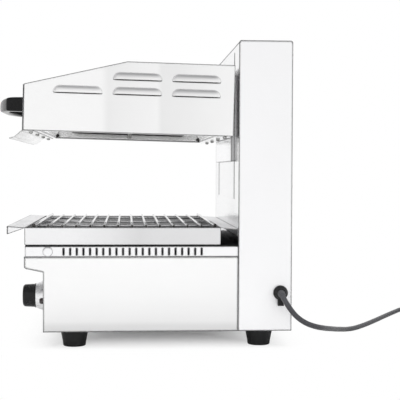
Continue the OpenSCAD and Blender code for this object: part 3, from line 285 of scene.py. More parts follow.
# How each finish is made, the material's name, its colour, and what is set on it
FINISHES = {
    "brushed_stainless": (brushed_sheet, "brushed stainless, sides", "steel", dict(edge_shade=4.2)),
    "brushed_base": (brushed_sheet, "brushed stainless, base", "pale", dict(lanes=BASE_SHADE_LANES, axis=2, edge_shade=4.6)),
    "brushed_band": (brushed_sheet, "brushed stainless, band", "steel", dict(line="#9A9A9C")),
    "brushed_lanes": (brushed_sheet, "brushed stainless, head", "pale", dict(lanes=HEAD_REFLECTION_LANES)),
    "brushed_face": (brushed_sheet, "brushed stainless, faces", "steel", dict(grain=GRAIN_FACE)),
    "brushed_tray": (brushed_sheet, "brushed stainless, tray", "steel", dict(grain=GRAIN_FACE, lanes=TRAY_LANES)),
    "brushed_plates": (brushed_sheet, "brushed stainless, tray ends", "plate", dict(lanes=END_PLATE_LANES)),
    "brushed_arms": (brushed_sheet, "brushed stainless, lift bracket", "steel",
                     dict(low=0.16, high=0.24, grain=GRAIN_FACE, lanes=ARM_SHADE_LANES)),
    "aluminised_sheet": (brushed_sheet, "aluminised steel", "pale", dict(low=0.16, high=0.26, grain=GRAIN_FACE)),
    "polished_stainless": (brushed_sheet, "bright rolled stainless", "bright",
                           dict(low=0.13, high=0.2, grain=GRAIN_FACE, wave=0.5)),
    "satin_stainless": (brushed_sheet, "satin rolled stainless", "pale",
                        dict(low=0.25, high=0.34, grain=GRAIN_FACE, wave=0.1)),
    "galvanised_sheet": (zinc_sheet, "galvanised sheet", "zinc", {}),
    # Painted shade: a near-black line 2.4 mm wide round the screw heads stands for the dark sides of their shiny
    # round heads
    "plated_screws": (turned_metal, "zinc plated screws", "plated",
                      dict(low=0.22, high=0.36, pitch=1.5, roll=2.4, line="#060607")),
    "ground_steel": (turned_metal, "ground and hardened steel", "plated", dict(low=0.1, high=0.2, pitch=1)),
    "spring_wire": (turned_metal, "drawn spring wire", "wire", dict(low=0.25, high=0.4, pitch=2)),
    "cast_aluminium": (turned_metal, "cast aluminium", "cast", dict(low=0.42, high=0.6, pitch=3)),
    "bright_wire": (turned_metal, "bright drawn wire", "bright", dict(low=0.14, high=0.26, pitch=4)),
    "spun_aluminium": (turned_metal, "spun aluminium", "spun", dict(low=0.2, high=0.3, pitch=1.5)),
    # Painted shade: the deck under the tray is near-black to stand for the shadow in the gap behind the tray
    "shaded_deck": (heat_oxide, "deck sheet in painted shade", "deck", {}),
    "heater_sheath": (heat_oxide, "oxidised heater sheath", "oxide", {}),
    "white_ceramic": (fired_ceramic, "unglazed steatite", "ceramic", {}),
    "mineral_fibre": (fibre_board, "pressed mineral fibre", "fibre", {}),
    "black_phenolic": (satin_moulding, "moulded phenolic", "plastic",
                       dict(low=0.16, high=0.26, grit=1.2, ior=1.6, level=0.2)),
    "handle_phenolic": (satin_moulding, "moulded phenolic, handle", "plastic",
                        dict(low=0.12, high=0.22, grit=1.2, ior=1.6, level=0.12)),
    "black_rubber": (satin_moulding, "moulded rubber", "rubber",
                     dict(low=0.5, high=0.68, grit=1.5, ior=1.52, sheen=0.02)),
    "cord_jacket": (satin_moulding, "extruded rubber jacket", "jacket",
                    dict(low=0.34, high=0.44, grit=2, ior=1.52, level=0.12)),
    "lamp_lens": (lamp_polycarbonate, "polycarbonate lens", "lens", {}),
    "dial_ink": (printed_ink, "screen-printed ink", "ink", {}),
    "pointer_ink": (printed_ink, "filled pointer line", "pointer", {}),
}


def finish_of(kind):
    """The material of a finish, made when it is first asked for."""
    maker, name, colour, settings = FINISHES[kind]
    made = bpy.data.materials.get(name)
    if not made:
        tone = (*getattr(bpy.context.scene.grill_colours, colour), 1.0)
        made, tree, space = blank(name)
        add(tree, "ShaderNodeOutputMaterial", {"Surface": maker(tree, space, tone, **settings)})
    return made


def dress(kind, *names):
    """Give a finish to CAD nodes."""
    for name in names:
        materials = NODES[name].data.materials
        materials.clear()
        materials.append(finish_of(kind))


# ---------- shapes ----------


def new_object(name, data):
    """An object in the scene."""
    made = bpy.data.objects.new(name, data)
    bpy.context.scene.collection.objects.link(made)
    return made


def piece(name, mesh, kind, body, *replaced, slot=None, smooth=30):
    """Link a finished mesh as a piece that rides on a body and stands for CAD nodes."""
    mesh.normal_update()
    data = bpy.data.meshes.new(name)
    mesh.to_mesh(data)
    mesh.free()
    made = new_object(name, data)
    data.materials.append(finish_of(kind))
    data.shade_smooth()
    data.set_sharp_from_angle(angle=math.radians(smooth))
    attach(made, body)
    if replaced:
        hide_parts(*replaced)
    return made


def ring_of(across, over, sides):
    """Directions round an axis, evenly spaced."""
    turns = [2 * math.pi * k / sides for k in range(sides)]
    return [math.cos(t) * across + math.sin(t) * over for t in turns]


def sleeve(mesh, centres, radii, sides=24):
    """A closed round skin: one ring for each centre, square to the line through its neighbours."""
    rings = []
    for i, centre in enumerate(centres):
        along = (centres[min(i + 1, len(centres) - 1)] - centres[max(i - 1, 0)]).normalized()
        across = along.cross(Vector((0.13, 0.21, 1.0))).normalized()
        ways = ring_of(across, across.cross(along), sides)
        rings.append([mesh.verts.new(centre + radii[i] * way) for way in ways])
    for one, two in zip(rings, rings[1:]):
        for k in range(sides):
            mesh.faces.new((one[k], two[k], two[(k + 1) % sides], one[(k + 1) % sides]))
    mesh.faces.new(rings[0][::-1])
    mesh.faces.new(rings[-1])
    bmesh.ops.recalc_face_normals(mesh, faces=mesh.faces)


def turned(mesh, profile, at, along, sides=64, closed=False):
    """A turned skin about an axis, from (distance along, radius) pairs: flat ends, or closed to a ring."""
    first = along.orthogonal().normalized()
    spin = ring_of(first, along.cross(first), sides)
    rings = [[mesh.verts.new(at + along * d + way * r) for way in spin] for d, r in profile]
    if closed:
        rings.append(rings[0])
    for one, two in zip(rings, rings[1:]):
        for k in range(sides):
            mesh.faces.new((one[k], one[(k + 1) % sides], two[(k + 1) % sides], two[k]))
    if not closed:
        mesh.faces.new(rings[0][::-1])
        mesh.faces.new(rings[-1])
    bmesh.ops.recalc_face_normals(mesh, faces=mesh.faces)


def rounded(profile, radius, steps=4):
    """Round the inner corners of a profile of (distance, radius) pairs."""
    out = [profile[0]]
    for before, here, after in zip(profile, profile[1:], profile[2:]):
        a, b, c = Vector(before), Vector(here), Vector(after)
        cut = min(radius, (a - b).length * 0.45, (c - b).length * 0.45)
        start, end = b + (a - b).normalized() * cut, b + (c - b).normalized() * cut
        for i in range(steps + 1):
            t = i / steps
            out.append(tuple((1 - t) ** 2 * start + 2 * t * (1 - t) * b + t * t * end))
    return out + [profile[-1]]


def in_metres(profile):
    """A profile given in millimetres, as metres."""
    return [(d * MM, r * MM) for d, r in profile]


def bar(mesh, low, high, turn=None):
    """A block between two corners, with an optional turn."""
    size = Vector(high) - Vector(low)
    place = Matrix.Translation((Vector(low) + Vector(high)) / 2) @ Matrix.Diagonal((*size, 1.0))
    bmesh.ops.create_cube(mesh, size=1.0, matrix=turn @ place if turn else place)


def through(points, steps):
    """A smooth line in metres through points in millimetres, by Catmull-Rom."""
    points = [Vector(p) * MM for p in points]
    out = []
    for i in range(len(points) - 1):
        p = [points[max(i - 1, 0)], points[i], points[i + 1], points[min(i + 2, len(points) - 1)]]
        for k in range(steps):
            t = k / steps
            out.append(0.5 * (2 * p[1] + (p[2] - p[0]) * t + (2 * p[0] - 5 * p[1] + 4 * p[2] - p[3]) * t * t
                              + (3 * p[1] - p[0] - 3 * p[2] + p[3]) * t ** 3))
    return out + [points[-1]]


# ---------- sizes and colours ----------


def size(name, text, default):
    """A length property."""
    return bpy.props.FloatProperty(name=name, description=text, default=default, min=0.0, unit="LENGTH")


def amount(name, text, default, **kind):
    """A strength or power property."""
    return bpy.props.FloatProperty(name=name, description=text, default=default, min=0.0, **kind)


def shade(name, text, hex_value):
    """A colour property, default from sRGB hex."""
    return bpy.props.FloatVectorProperty(name=name, description=text, default=linear(hex_value)[:3], min=0.0,
                                         max=1.0, size=3, subtype="COLOR")


class GrillSizes(bpy.types.PropertyGroup):
    """Sizes of the detail pieces."""

    cord: size("Cord", "Outside diameter of the mains cord", 0.009)
    wire: size("Rack wire", "Radius of the rack's thin wires", 0.002)
    rod: size("Rack rod", "Radius of the rack's two frame rods", 0.0029)
    tie: size("Tie width", "Width of the strap that holds the coil of spare cord", 0.012)
    tick: size("Tick", "Width of the marks around the control knob", 0.0012)


class GrillColours(bpy.types.PropertyGroup):
    """Colours of the finishes."""

    steel: shade("Brushed steel", "Outer panels", "#FDFDFE")
    pale: shade("Pale brushed steel", "Casings of the head and the base", "#FFFFFF")
    plate: shade("Tray ends", "Brushed end plates of the tray", "#FBFBFC")
    bright: shade("Bright steel", "Bright rolled sheet and rack wire", "#F0F0F1")
    zinc: shade("Zinc", "Galvanised inner sheet", "#9FA2A5")
    plated: shade("Plated steel", "Screws and rods", "#D6D6D4")
    wire: shade("Spring wire", "Balance springs", "#B4B5B8")
    cast: shade("Cast aluminium", "Carriage and pulleys", "#B7B9BC")
    oxide: shade("Heater sheath", "Fired sheath of the heating elements", "#2C2A29")
    # The deck's near-black is painted shade, for the shadow in the gap behind the tray
    deck: shade("Deck", "Sheet under the tray, near-black with painted shade", "#1B1B1C")
    ceramic: shade("Ceramic", "Bushes of the heating elements", "#EAE6DC")
    fibre: shade("Insulation", "Mineral fibre board", "#DAD5C6")
    plastic: shade("Black plastic", "Handle and knob", "#0E0E0F")
    spun: shade("Spun aluminium", "Skirt of the knob", "#F4F4F5")
    lens: shade("Lamp lens", "Unlit lens of the pilot lamp", "#220D0C")
    rubber: shade("Rubber", "Feet, gland and plug", "#121213")
    jacket: shade("Cord jacket", "Rubber jacket of the cord and its sleeve", "#424245")
    ink: shade("Ink", "Marks around the knob", "#2A2A2C")
    pointer: shade("Pointer", "Line on the knob", "#E8E8E4")


class GrillStage(bpy.types.PropertyGroup):
    """Camera, lamps and floor."""

    lens: bpy.props.FloatProperty(name="Focal length", description="Focal length of the camera", default=91.25,
                                  min=1.0, unit="CAMERA")
    distance: size("Camera distance", "Camera's place along X", 1.96135)
    floor: size("Floor", "Side of the square floor", 9.0)
    key: amount("Key lamp", "Power of the soft lamp overhead", 46.0, unit="POWER")
    fill: amount("Fill lamp", "Power of the soft lamp behind the camera", 20.0, unit="POWER")
    lift: amount("Floor glow", "Brightness added to the floor where it is seen", 0.17, subtype="FACTOR")
    sky: amount("Sky", "Strength of the world on matt surfaces", 0.5, subtype="FACTOR")


# ---------- camera ----------

# Yaw, pitch and roll in radians, and the camera's place along Y and Z
YAW, PITCH, ROLL = 0.0722, -0.0296, 0.0039
CAMERA_Y, CAMERA_Z = -0.0224, 0.30705


class GRILL_OT_camera(bpy.types.Operator):
    """Camera square to the right side, slightly in front of the middle"""

    bl_idname = "grill.camera"
    bl_label = "Camera"

    def execute(self, context):
        s = context.scene.grill_stage
        ahead = Vector((-math.cos(YAW) * math.cos(PITCH), math.sin(YAW) * math.cos(PITCH), math.sin(PITCH)))
        level = ahead.cross(Vector((0, 0, 1))).normalized()
        upright = level.cross(ahead)
        right = math.cos(ROLL) * level + math.sin(ROLL) * upright
        up = math.cos(ROLL) * upright - math.sin(ROLL) * level
        data = bpy.data.cameras.new("camera")
        data.lens = s.lens
        data.sensor_width = 36.0
        made = new_object("camera", data)
        turn = Matrix((right, up, -ahead)).transposed().to_4x4()
        made.matrix_world = Matrix.Translation((s.distance, CAMERA_Y, CAMERA_Z)) @ turn
        context.scene.camera = made
        return {"FINISHED"}


# ---------- cord ----------

# The cord's points in mm, as its solids lie: out of the gland, down to the table and along it to the coil
ROUTE = [
    (238, 243, 95), (252, 243, 93.6), (265, 243.5, 89.7), (276, 246.3, 83.1), (286, 250.8, 75.4),
    (293, 257.8, 66.2), (297, 267, 58.3), (297, 277.8, 52), (293, 288.6, 47.6), (284, 299.5, 43.8),
    (270, 309.4, 40.4), (252, 318.8, 36.7), (232, 327.7, 33.1), (210, 336.5, 29.3), (187, 345.7, 25.3),
    (163, 355.8, 21.1), (138, 367.1, 17), (112, 379.8, 12.7), (85, 394.1, 8.8), (52, 414.6, 5.7),
    (8.8, 443.1, 4.8), (-46.7, 477.6, 4.8), (-110.5, 515.2, 4.8), (-171.1, 552, 4.8), (-204.7, 573.9, 4.8),
    (-235, 604, 4.8), (-259, 641, 4.8),
]
# From the coil to the back of the plug
PLUG = (-165, 725, 19)
TAIL = [(-212, 722.5, 14), (-196, 723, 15), (-180, 724, 17), PLUG]
# The coil's centre, the radii of its outer and inner ring and the heights of its lower and upper layer, in mm
COIL = (-212, 668)
OUTER, INNER = 54.5, 45.5
LOWER, UPPER = 5, 14
# Where the cord joins the coil and how far it winds, in degrees, and the steps in which it is drawn
JOINS, WINDS, WIND_STEPS = 209.9, 1199.9, 168


def ease(value, low, high, start, end):
    """A smooth step from low to high while value goes from start to end."""
    t = min(1.0, max(0.0, (value - start) / (end - start)))
    return low + (high - low) * t * t * (3 - 2 * t)


def coil_line():
    """Three and a third turns, laid in two rings of two layers a cord's thickness apart."""
    out = []
    for i in range(1, WIND_STEPS):
        swept = WINDS * i / WIND_STEPS
        # In to the inner ring, out again one layer up
        radius = ease(swept, OUTER - 0.3, OUTER, 0, 40)
        radius = ease(swept, radius, INNER, 270, 345)
        radius = ease(swept, radius, OUTER, 840, 915)
        angle = math.radians(JOINS - swept)
        out.append(Vector((COIL[0] + radius * math.cos(angle), COIL[1] + radius * math.sin(angle),
                           ease(swept, LOWER, UPPER, 560, 640))) * MM)
    return out


def mains_lead(thickness):
    """The whole cord, from the gland to the plug."""
    line = through(ROUTE, 4) + coil_line() + through(TAIL, 4)
    curve = bpy.data.curves.new("mains_lead", "CURVE")
    curve.dimensions = "3D"
    spline = curve.splines.new("POLY")
    spline.points.add(len(line) - 1)
    for point, at in zip(spline.points, line):
        point.co = (*at, 1.0)
    curve.bevel_depth = thickness / 2
    curve.bevel_resolution = 5
    curve.use_fill_caps = True
    curve.materials.append(finish_of("cord_jacket"))
    lead = new_object("mains_lead", curve)
    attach(lead, "root")
    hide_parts("power_cord", "cord_coil")
    return lead


def cord_sleeve():
    """Tapered sleeve: six soft ribs that let the cord bend gently out of the gland."""
    inside = (232, 243, 95)
    rings = 62
    wide, taper, groove = 7.6, 2.4, 0.5
    radii = [(wide - taper * i / (rings - 1) - (groove if i % 10 in (4, 5, 6) and i > 8 else 0)) * MM
             for i in range(rings)]
    mesh = bmesh.new()
    sleeve(mesh, through([inside, *ROUTE[:3]], 24)[:rings], radii)
    return piece("cord_sleeve", mesh, "cord_jacket", "root", smooth=50)


def coil_tie(width):
    """Strap round all the turns, on the side away from the plug."""
    half, swell, lowest = 9.8, 1.06, 0.05 * MM
    centre = Vector((COIL[0], COIL[1] - (OUTER + INNER) / 2, 9.7)) * MM
    outline = rounded([(0, -9.6), (half, -9.6), (half, half), (-half, half), (-half, -9.6), (0, -9.6)], 4, 5)
    mesh = bmesh.new()
    for low, high in zip(outline, outline[1:]):
        one, two = Vector((0, *low)) * MM, Vector((0, *high)) * MM
        if (two - one).length < 1e-6:
            continue
        edges = []
        for x in (-width / 2, width / 2):
            rim = [centre + Vector((x, 0, 0)) + p for p in (one, two, two * swell, one * swell)]
            edges.append([mesh.verts.new(Vector((p.x, p.y, max(p.z, lowest)))) for p in rim])
        for k in range(4):
            mesh.faces.new((edges[0][k], edges[0][(k + 1) % 4], edges[1][(k + 1) % 4], edges[1][k]))
    bmesh.ops.remove_doubles(mesh, verts=mesh.verts, dist=1e-6)
    bmesh.ops.recalc_face_normals(mesh, faces=mesh.faces)
    return piece("coil_tie", mesh, "black_rubber", "root", smooth=60)


def plug():
    """Plug: ribbed grip and flat face, and two round pins."""
    at, along = Vector(PLUG) * MM, Vector((1, 0, 0))
    grip = [(0, 5.2), (2, 8)]
    for i in range(6):
        grip += [(4 + 3.4 * i, 8.6 + 1.5 * i), (5.4 + 3.4 * i, 8.2 + 1.5 * i)]
    grip += [(26, 18.3), (46, 18.4), (48, 16.6)]
    mesh = bmesh.new()
    turned(mesh, in_metres(rounded(grip, 1.2)), at, along)
    body = piece("plug_body", mesh, "black_rubber", "root", "mains_plug", smooth=40)
    pin = [(46, 2.4), (66, 2.4), (67, 1.4)]
    mesh = bmesh.new()
    for side in (-9.5, 9.5):
        turned(mesh, in_metres(rounded(pin, 0.6)), at + Vector((0, side * MM, 0)), along, 24)
    return body, piece("plug_pins", mesh, "plated_screws", "root")


class GRILL_OT_cord(bpy.types.Operator):
    """Mains cord, its tapered sleeve, the coil of spare cord with its tie, and the plug"""

    bl_idname = "grill.cord"
    bl_label = "Cord"

    def execute(self, context):
        s = context.scene.grill_sizes
        lead = mains_lead(s.cord)
        boot = cord_sleeve()
        tie = coil_tie(s.tie)
        body, pins = plug()
        dress("black_rubber", "cord_gland")
        return {"FINISHED"}


# ---------- sheet, lift and heater ----------


class GRILL_OT_panels(bpy.types.Operator):
    """Brushed and bright stainless sheet of the column, the base, the head and the tray"""

    bl_idname = "grill.panels"
    bl_label = "Panels"

    def execute(self, context):
        dress("brushed_base", "base_casing")
        dress("brushed_band", "vent_band", "side_plugs")
        dress("brushed_stainless", "column_casing")
        dress("brushed_lanes", "head_casing")
        dress("brushed_face", "control_panel", "column_back", "head_front", "head_rear", "bottom_plate")
        dress("brushed_tray", "grill_tray")
        dress("brushed_plates", "tray_sides")
        dress("shaded_deck", "top_deck")
        dress("aluminised_sheet", "reflector")
        dress("polished_stainless", "bottom_frame", "column_front")
        dress("satin_stainless", "front_deflector")
        dress("brushed_arms", "lift_bracket")
        dress("plated_screws", "cover_screws", "bottom_screws", "foot_screws", "frame_screws", "head_bolts",
              "bracket_spacers", "handle_screws")
        return {"FINISHED"}


class GRILL_OT_lift(bpy.types.Operator):
    """Guide rods, carriage, balance springs, cables and pulleys inside the column"""

    bl_idname = "grill.lift"
    bl_label = "Lift"

    def execute(self, context):
        dress("ground_steel", "guide_rods", "pulley_shaft", "linear_bushings")
        dress("galvanised_sheet", "upper_rod_bracket", "lower_rod_bracket", "spring_anchor")
        dress("spring_wire", "balance_springs")
        dress("plated_screws", "spring_heads")
        dress("bright_wire", "lift_cables", "spring_cables", "cable_wraps")
        dress("cast_aluminium", "carriage", "cable_pulleys")
        return {"FINISHED"}


# Bolt heads on the sloping ends of the reflector, in mm, each with the way it faces along Y
REFLECTOR_BOLTS = [((-185, -168.5, 378), 1), ((-185, 129.6, 370.6), -1)]
BOLT_HEAD = [(-0.6, 4.3), (1.8, 4.3), (3.4, 2.8), (4, 0.6)]


class GRILL_OT_heater(bpy.types.Operator):
    """Heating elements, their ceramic bushes and hangers, reflector bolts, insulation and wiring"""

    bl_idname = "grill.heater"
    bl_label = "Heater"

    def execute(self, context):
        dress("heater_sheath", "heating_elements")
        dress("white_ceramic", "element_bushes", "terminal_block")
        dress("plated_screws", "element_supports", "control_spindle")
        dress("mineral_fibre", "insulation")
        dress("galvanised_sheet", "energy_regulator")
        dress("cord_jacket", "base_leads", "head_lead")
        mesh = bmesh.new()
        for place, side in REFLECTOR_BOLTS:
            facing = Vector((0, 0.97 * side, -0.25)).normalized()
            turned(mesh, in_metres(rounded(BOLT_HEAD, 0.5)), Vector(place) * MM, facing, 24)
        # The bolt heads take the near-black sheath finish: partly their own dark oxide, partly painted shade for
        # the shadow round each head
        piece("reflector_bolts", mesh, "heater_sheath", "head", smooth=40)
        return {"FINISHED"}


class GRILL_OT_handle(bpy.types.Operator):
    """Bowed black handle with rolled edges"""

    bl_idname = "grill.handle"
    bl_label = "Handle"

    def execute(self, context):
        dress("handle_phenolic", "handle")
        skin = NODES["handle"].modifiers.new("even skin", "REMESH")
        skin.mode = "VOXEL"
        skin.voxel_size = 1.5 * MM
        skin.use_smooth_shade = True
        soften = NODES["handle"].modifiers.new("moulded rounding", "SMOOTH")
        soften.factor = 0.5
        soften.iterations = 40
        return {"FINISHED"}


# ---------- control ----------

OUT = Vector((0, -1, 0))
# The knob turns 50 degrees from one mark to the next, and the first mark is off
MARKS, MARK_STEP = 7, 50
# The spun edge of the skirt stands this far out from its solid
SPUN_EDGE = 2.5 * MM


def skirt_shell(at, depth, flare, collar):
    """Skirt: a thin trumpet, open at the panel."""
    wall, bore, bow = 1.5 * MM, 6.1 * MM, 0.55
    outer = [(depth * t, flare - (flare - collar) * t ** bow) for t in (i / 14 for i in range(15))]
    inner = [(min(d, depth - wall), r - wall) for d, r in outer[::-1]]
    mesh = bmesh.new()
    turned(mesh, [(depth, bore), (depth - wall, bore), *inner, *outer], at, OUT, 96, closed=True)
    piece("skirt_shell", mesh, "spun_aluminium", "knob_set", "knob_skirt", smooth=40)


def knob_grip(at, reach, collar, grip):
    """Knob: rolled front edge and a slightly dished face."""
    shape = [(-7 * MM, 4 * MM), (0, 4 * MM), (0, collar), (1.4 * MM, collar), (2.6 * MM, grip),
             (reach - 3 * MM, grip - 1 * MM), (reach, grip - 3.4 * MM), (reach - 0.5 * MM, 6 * MM),
             (reach - 0.6 * MM, 0.5 * MM)]
    mesh = bmesh.new()
    turned(mesh, rounded(shape, 1.1 * MM), at, OUT, 96)
    piece("knob_grip", mesh, "black_phenolic", "knob_set", "knob", smooth=35)


def knob_pointer(at, reach, grip):
    """Pointer: a filled line across the face and down the edge, straight up at off."""
    half = 0.8 * MM
    tip, top = at.y - reach, at.z + grip
    mesh = bmesh.new()
    bar(mesh, (at.x - half, tip + 0.35 * MM, at.z + 7 * MM), (at.x + half, tip + 1.2 * MM, top - 3.6 * MM))
    bar(mesh, (at.x - half, tip + 4 * MM, top - 2 * MM), (at.x + half, at.y - 4 * MM, top - 0.5 * MM))
    piece("knob_pointer", mesh, "pointer_ink", "knob_set", slot="black_phenolic")


def dial(face, width):
    """Marks on the panel, and a number at each one but off."""
    mesh = bmesh.new()
    for i in range(MARKS):
        turn = Matrix.Translation(face) @ Matrix.Rotation(math.radians(MARK_STEP * i), 4, "Y")
        bar(mesh, (-width / 2, -0.12 * MM, 33 * MM), (width / 2, 0.05 * MM, 38 * MM), turn)
    piece("dial_ticks", mesh, "dial_ink", "root", slot="black_phenolic")
    upright = Matrix.Rotation(math.pi / 2, 4, "X")
    for i in range(1, MARKS):
        turn = math.radians(MARK_STEP * i)
        text = bpy.data.curves.new("dial_number", "FONT")
        text.body = str(i)
        text.size = 8 * MM
        text.extrude = 0.08 * MM
        text.align_x = "CENTER"
        text.align_y = "CENTER"
        text.materials.append(finish_of("dial_ink"))
        made = new_object(f"dial_number_{i}", text)
        away = Vector((math.sin(turn), 0, math.cos(turn))) * 44 * MM
        made.matrix_world = Matrix.Translation(face + away + OUT * 0.05 * MM) @ upright
        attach(made, "root")


def pilot_lamp(panel):
    """Pilot lamp: a domed lens and its black bezel."""
    low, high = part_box("pilot_lamp")
    centre = Vector(((low.x + high.x) / 2, panel, (low.z + high.z) / 2))
    rise = panel - low.y
    lens = [(-24 * MM, 5.4 * MM), (0, 5.4 * MM), (rise - 3 * MM, 5.4 * MM), (rise - 1 * MM, 4.4 * MM),
            (rise, 2.6 * MM), (rise, 0.4 * MM)]
    mesh = bmesh.new()
    turned(mesh, rounded(lens, 1.2 * MM), centre, OUT, 48)
    piece("lamp_lens", mesh, "lamp_lens", "root", "pilot_lamp", smooth=40)
    bezel = [(0, 5.5), (0, 7.4), (1.4, 7.4), (2.4, 6.4), (2.4, 5.5)]
    mesh = bmesh.new()
    turned(mesh, in_metres(bezel), centre, OUT, 48, closed=True)
    piece("lamp_bezel", mesh, "black_phenolic", "root")


class GRILL_OT_control(bpy.types.Operator):
    """Control knob with its pointer, spun skirt, dial marks and pilot lamp"""

    bl_idname = "grill.control"
    bl_label = "Control"

    def execute(self, context):
        low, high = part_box("knob_skirt")
        knob_low, knob_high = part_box("knob")
        x, z = (low.x + high.x) / 2, (low.z + high.z) / 2
        depth, front = high.y - low.y, low.y
        flare = high.x - x + SPUN_EDGE
        collar = (knob_high.x - knob_low.x) / 2
        grip, reach = collar - 1 * MM, front - knob_low.y
        skirt_shell(Vector((x, high.y, z)), depth, flare, collar)
        knob_grip(Vector((x, front, z)), reach, collar, grip)
        knob_pointer(Vector((x, front, z)), reach, grip)
        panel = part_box("control_panel")[0].y
        dial(Vector((x, panel, z)), context.scene.grill_sizes.tick)
        pilot_lamp(panel)
        return {"FINISHED"}


# ---------- rack and feet ----------

CROSS_WIRES = 12
# Between the rack's three long wires
LONG_PITCH = 440 * MM / 3


def rack_wire(mesh, start, end, radius):
    """A wire with its cut ends slightly rounded."""
    tip = radius * 0.35
    axis = (end - start).normalized() * tip
    sleeve(mesh, [start, start + axis, end - axis, end], [radius - tip, radius, radius, radius - tip], 16)


class GRILL_OT_rack(bpy.types.Operator):
    """Wire rack: two rods, and thin wires across and along"""

    bl_idname = "grill.rack"
    bl_label = "Rack"

    def execute(self, context):
        s = context.scene.grill_sizes
        low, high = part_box("wire_rack")
        level = high.z - 2 * s.rod
        near, far = low.y + s.rod, high.y - s.rod
        mesh = bmesh.new()
        for y in (near, far):
            rack_wire(mesh, Vector((low.x, y, level + s.rod)), Vector((high.x, y, level + s.rod)), s.rod)
        for i in range(1, CROSS_WIRES + 1):
            y = near + i * (far - near) / (CROSS_WIRES + 1)
            rack_wire(mesh, Vector((low.x, y, level + s.wire)), Vector((high.x, y, level + s.wire)), s.wire)
        for i in (-1, 0, 1):
            x, z = i * LONG_PITCH, level - 0.7 * s.wire
            rack_wire(mesh, Vector((x, near, z)), Vector((x, far, z)), s.wire)
        # The cross wires and the two rods are dark for their last 1.2 mm at each end
        for face in mesh.faces:
            face.material_index = int(abs(face.calc_center_median().x) > high.x - 1.2 * MM)
        rack = piece("rack_wires", mesh, "bright_wire", "rack", "wire_rack", smooth=50)
        rack.data.materials.append(finish_of("heater_sheath"))
        return {"FINISHED"}


class GRILL_OT_feet(bpy.types.Operator):
    """Four moulded rubber feet with a screw well"""

    bl_idname = "grill.feet"
    bl_label = "Feet"

    def execute(self, context):
        low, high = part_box("rubber_feet")
        tall, wide, well = high.z - low.z, 24 * MM, 10 * MM
        shape = [(tall - well, 9 * MM), (0.8 * MM, 9.6 * MM), (0, 11 * MM), (0, 18.6 * MM), (1.4 * MM, 19.6 * MM),
                 (9 * MM, 20.6 * MM), (tall - 2.4 * MM, wide), (tall, wide), (tall, 4 * MM), (tall - well, 4 * MM)]
        shape = rounded(shape + shape[:1], 1.2 * MM)[:-1]
        mesh = bmesh.new()
        for x in (low.x + wide, high.x - wide):
            for y in (low.y + wide, high.y - wide):
                turned(mesh, shape, Vector((x, y, low.z)), Vector((0, 0, 1)), closed=True)
        piece("moulded_feet", mesh, "black_rubber", "root", "rubber_feet", smooth=40)
        return {"FINISHED"}


# ---------- stage ----------

# The middle of the grill's footprint on the table, and half its size
FOOTPRINT, HALF_FOOTPRINT = (0, 0.035, 0), (0.225, 0.23, 0)
# Each soft lamp's name, place, aim and width
LAMPS = [("key_lamp", (0.3, -0.1, 2.2), (0, 0.05, 0.2), 2.4),
         ("fill_lamp", (2.6, -0.6, 1.3), (0, 0.05, 0.25), 2.0)]


def white_laminate(tree, space, lift):
    """Smooth white laminate: matt, with a faint orange-peel 3 mm across. The eye and bright metal see it turn to
    pure white away from the grill."""
    peel = add(tree, "ShaderNodeTexNoise", {"Vector": space, "Scale": 1 / (3 * MM), "Detail": 2.0})
    bump = add(tree, "ShaderNodeBump", {"Height": peel, "Distance": 0.02 * MM})
    lit = add(tree, "ShaderNodeBsdfPrincipled", {
        "Base Color": linear("#EDEDED"), "Roughness": 0.5, "Normal": bump})
    ray = add(tree, "ShaderNodeLightPath").outputs
    seen = add(tree, "ShaderNodeMath", {0: ray["Is Camera Ray"], 1: lift}, operation="MULTIPLY")
    glow = add(tree, "ShaderNodeEmission", {"Color": WHITE, "Strength": seen})
    near = add(tree, "ShaderNodeAddShader", {0: lit, 1: glow})
    white = add(tree, "ShaderNodeEmission", {"Color": WHITE, "Strength": 1.0})
    # Distance from the grill's footprint, less than zero under it
    shift = add(tree, "ShaderNodeVectorMath", {0: space, 1: FOOTPRINT}, operation="SUBTRACT")
    reach = add(tree, "ShaderNodeVectorMath", {0: shift}, operation="ABSOLUTE")
    past = add(tree, "ShaderNodeVectorMath", {0: reach, 1: HALF_FOOTPRINT}, operation="SUBTRACT")
    side = add(tree, "ShaderNodeSeparateXYZ", {0: past})
    apart = add(tree, "ShaderNodeMath", {0: side.outputs["X"], 1: side.outputs["Y"]}, operation="MAXIMUM")
    plain = add(tree, "ShaderNodeMapRange", {"Value": apart, "From Min": -0.16, "From Max": 0.05},
                interpolation_type="SMOOTHSTEP")
    mirrored = add(tree, "ShaderNodeMapRange", {"Value": apart, "From Min": 0.1, "From Max": 1.2},
                   interpolation_type="SMOOTHSTEP")
    straight = add(tree, "ShaderNodeMath", {0: ray["Is Camera Ray"], 1: plain}, operation="MULTIPLY")
    bounced = add(tree, "ShaderNodeMath", {0: ray["Is Glossy Ray"], 1: ray["Is Transmission Ray"]},
                  operation="MAXIMUM")
    pure = add(tree, "ShaderNodeMath", {0: bounced, 1: mirrored, 2: straight}, operation="MULTIPLY_ADD")
    return add(tree, "ShaderNodeMixShader", {0: pure, 1: near, 2: white})


def table(s):
    """The floor that the grill stands on, a hair under its feet."""
    mesh = bmesh.new()
    bmesh.ops.create_grid(mesh, x_segments=2, y_segments=2, size=s.floor / 2)
    data = bpy.data.meshes.new("floor")
    mesh.to_mesh(data)
    mesh.free()
    floor = new_object("floor", data)
    floor.location = (0, 0, -0.2 * MM)
    made, tree, space = blank("white laminate table")
    add(tree, "ShaderNodeOutputMaterial", {"Surface": white_laminate(tree, space, s.lift)})
    data.materials.append(made)


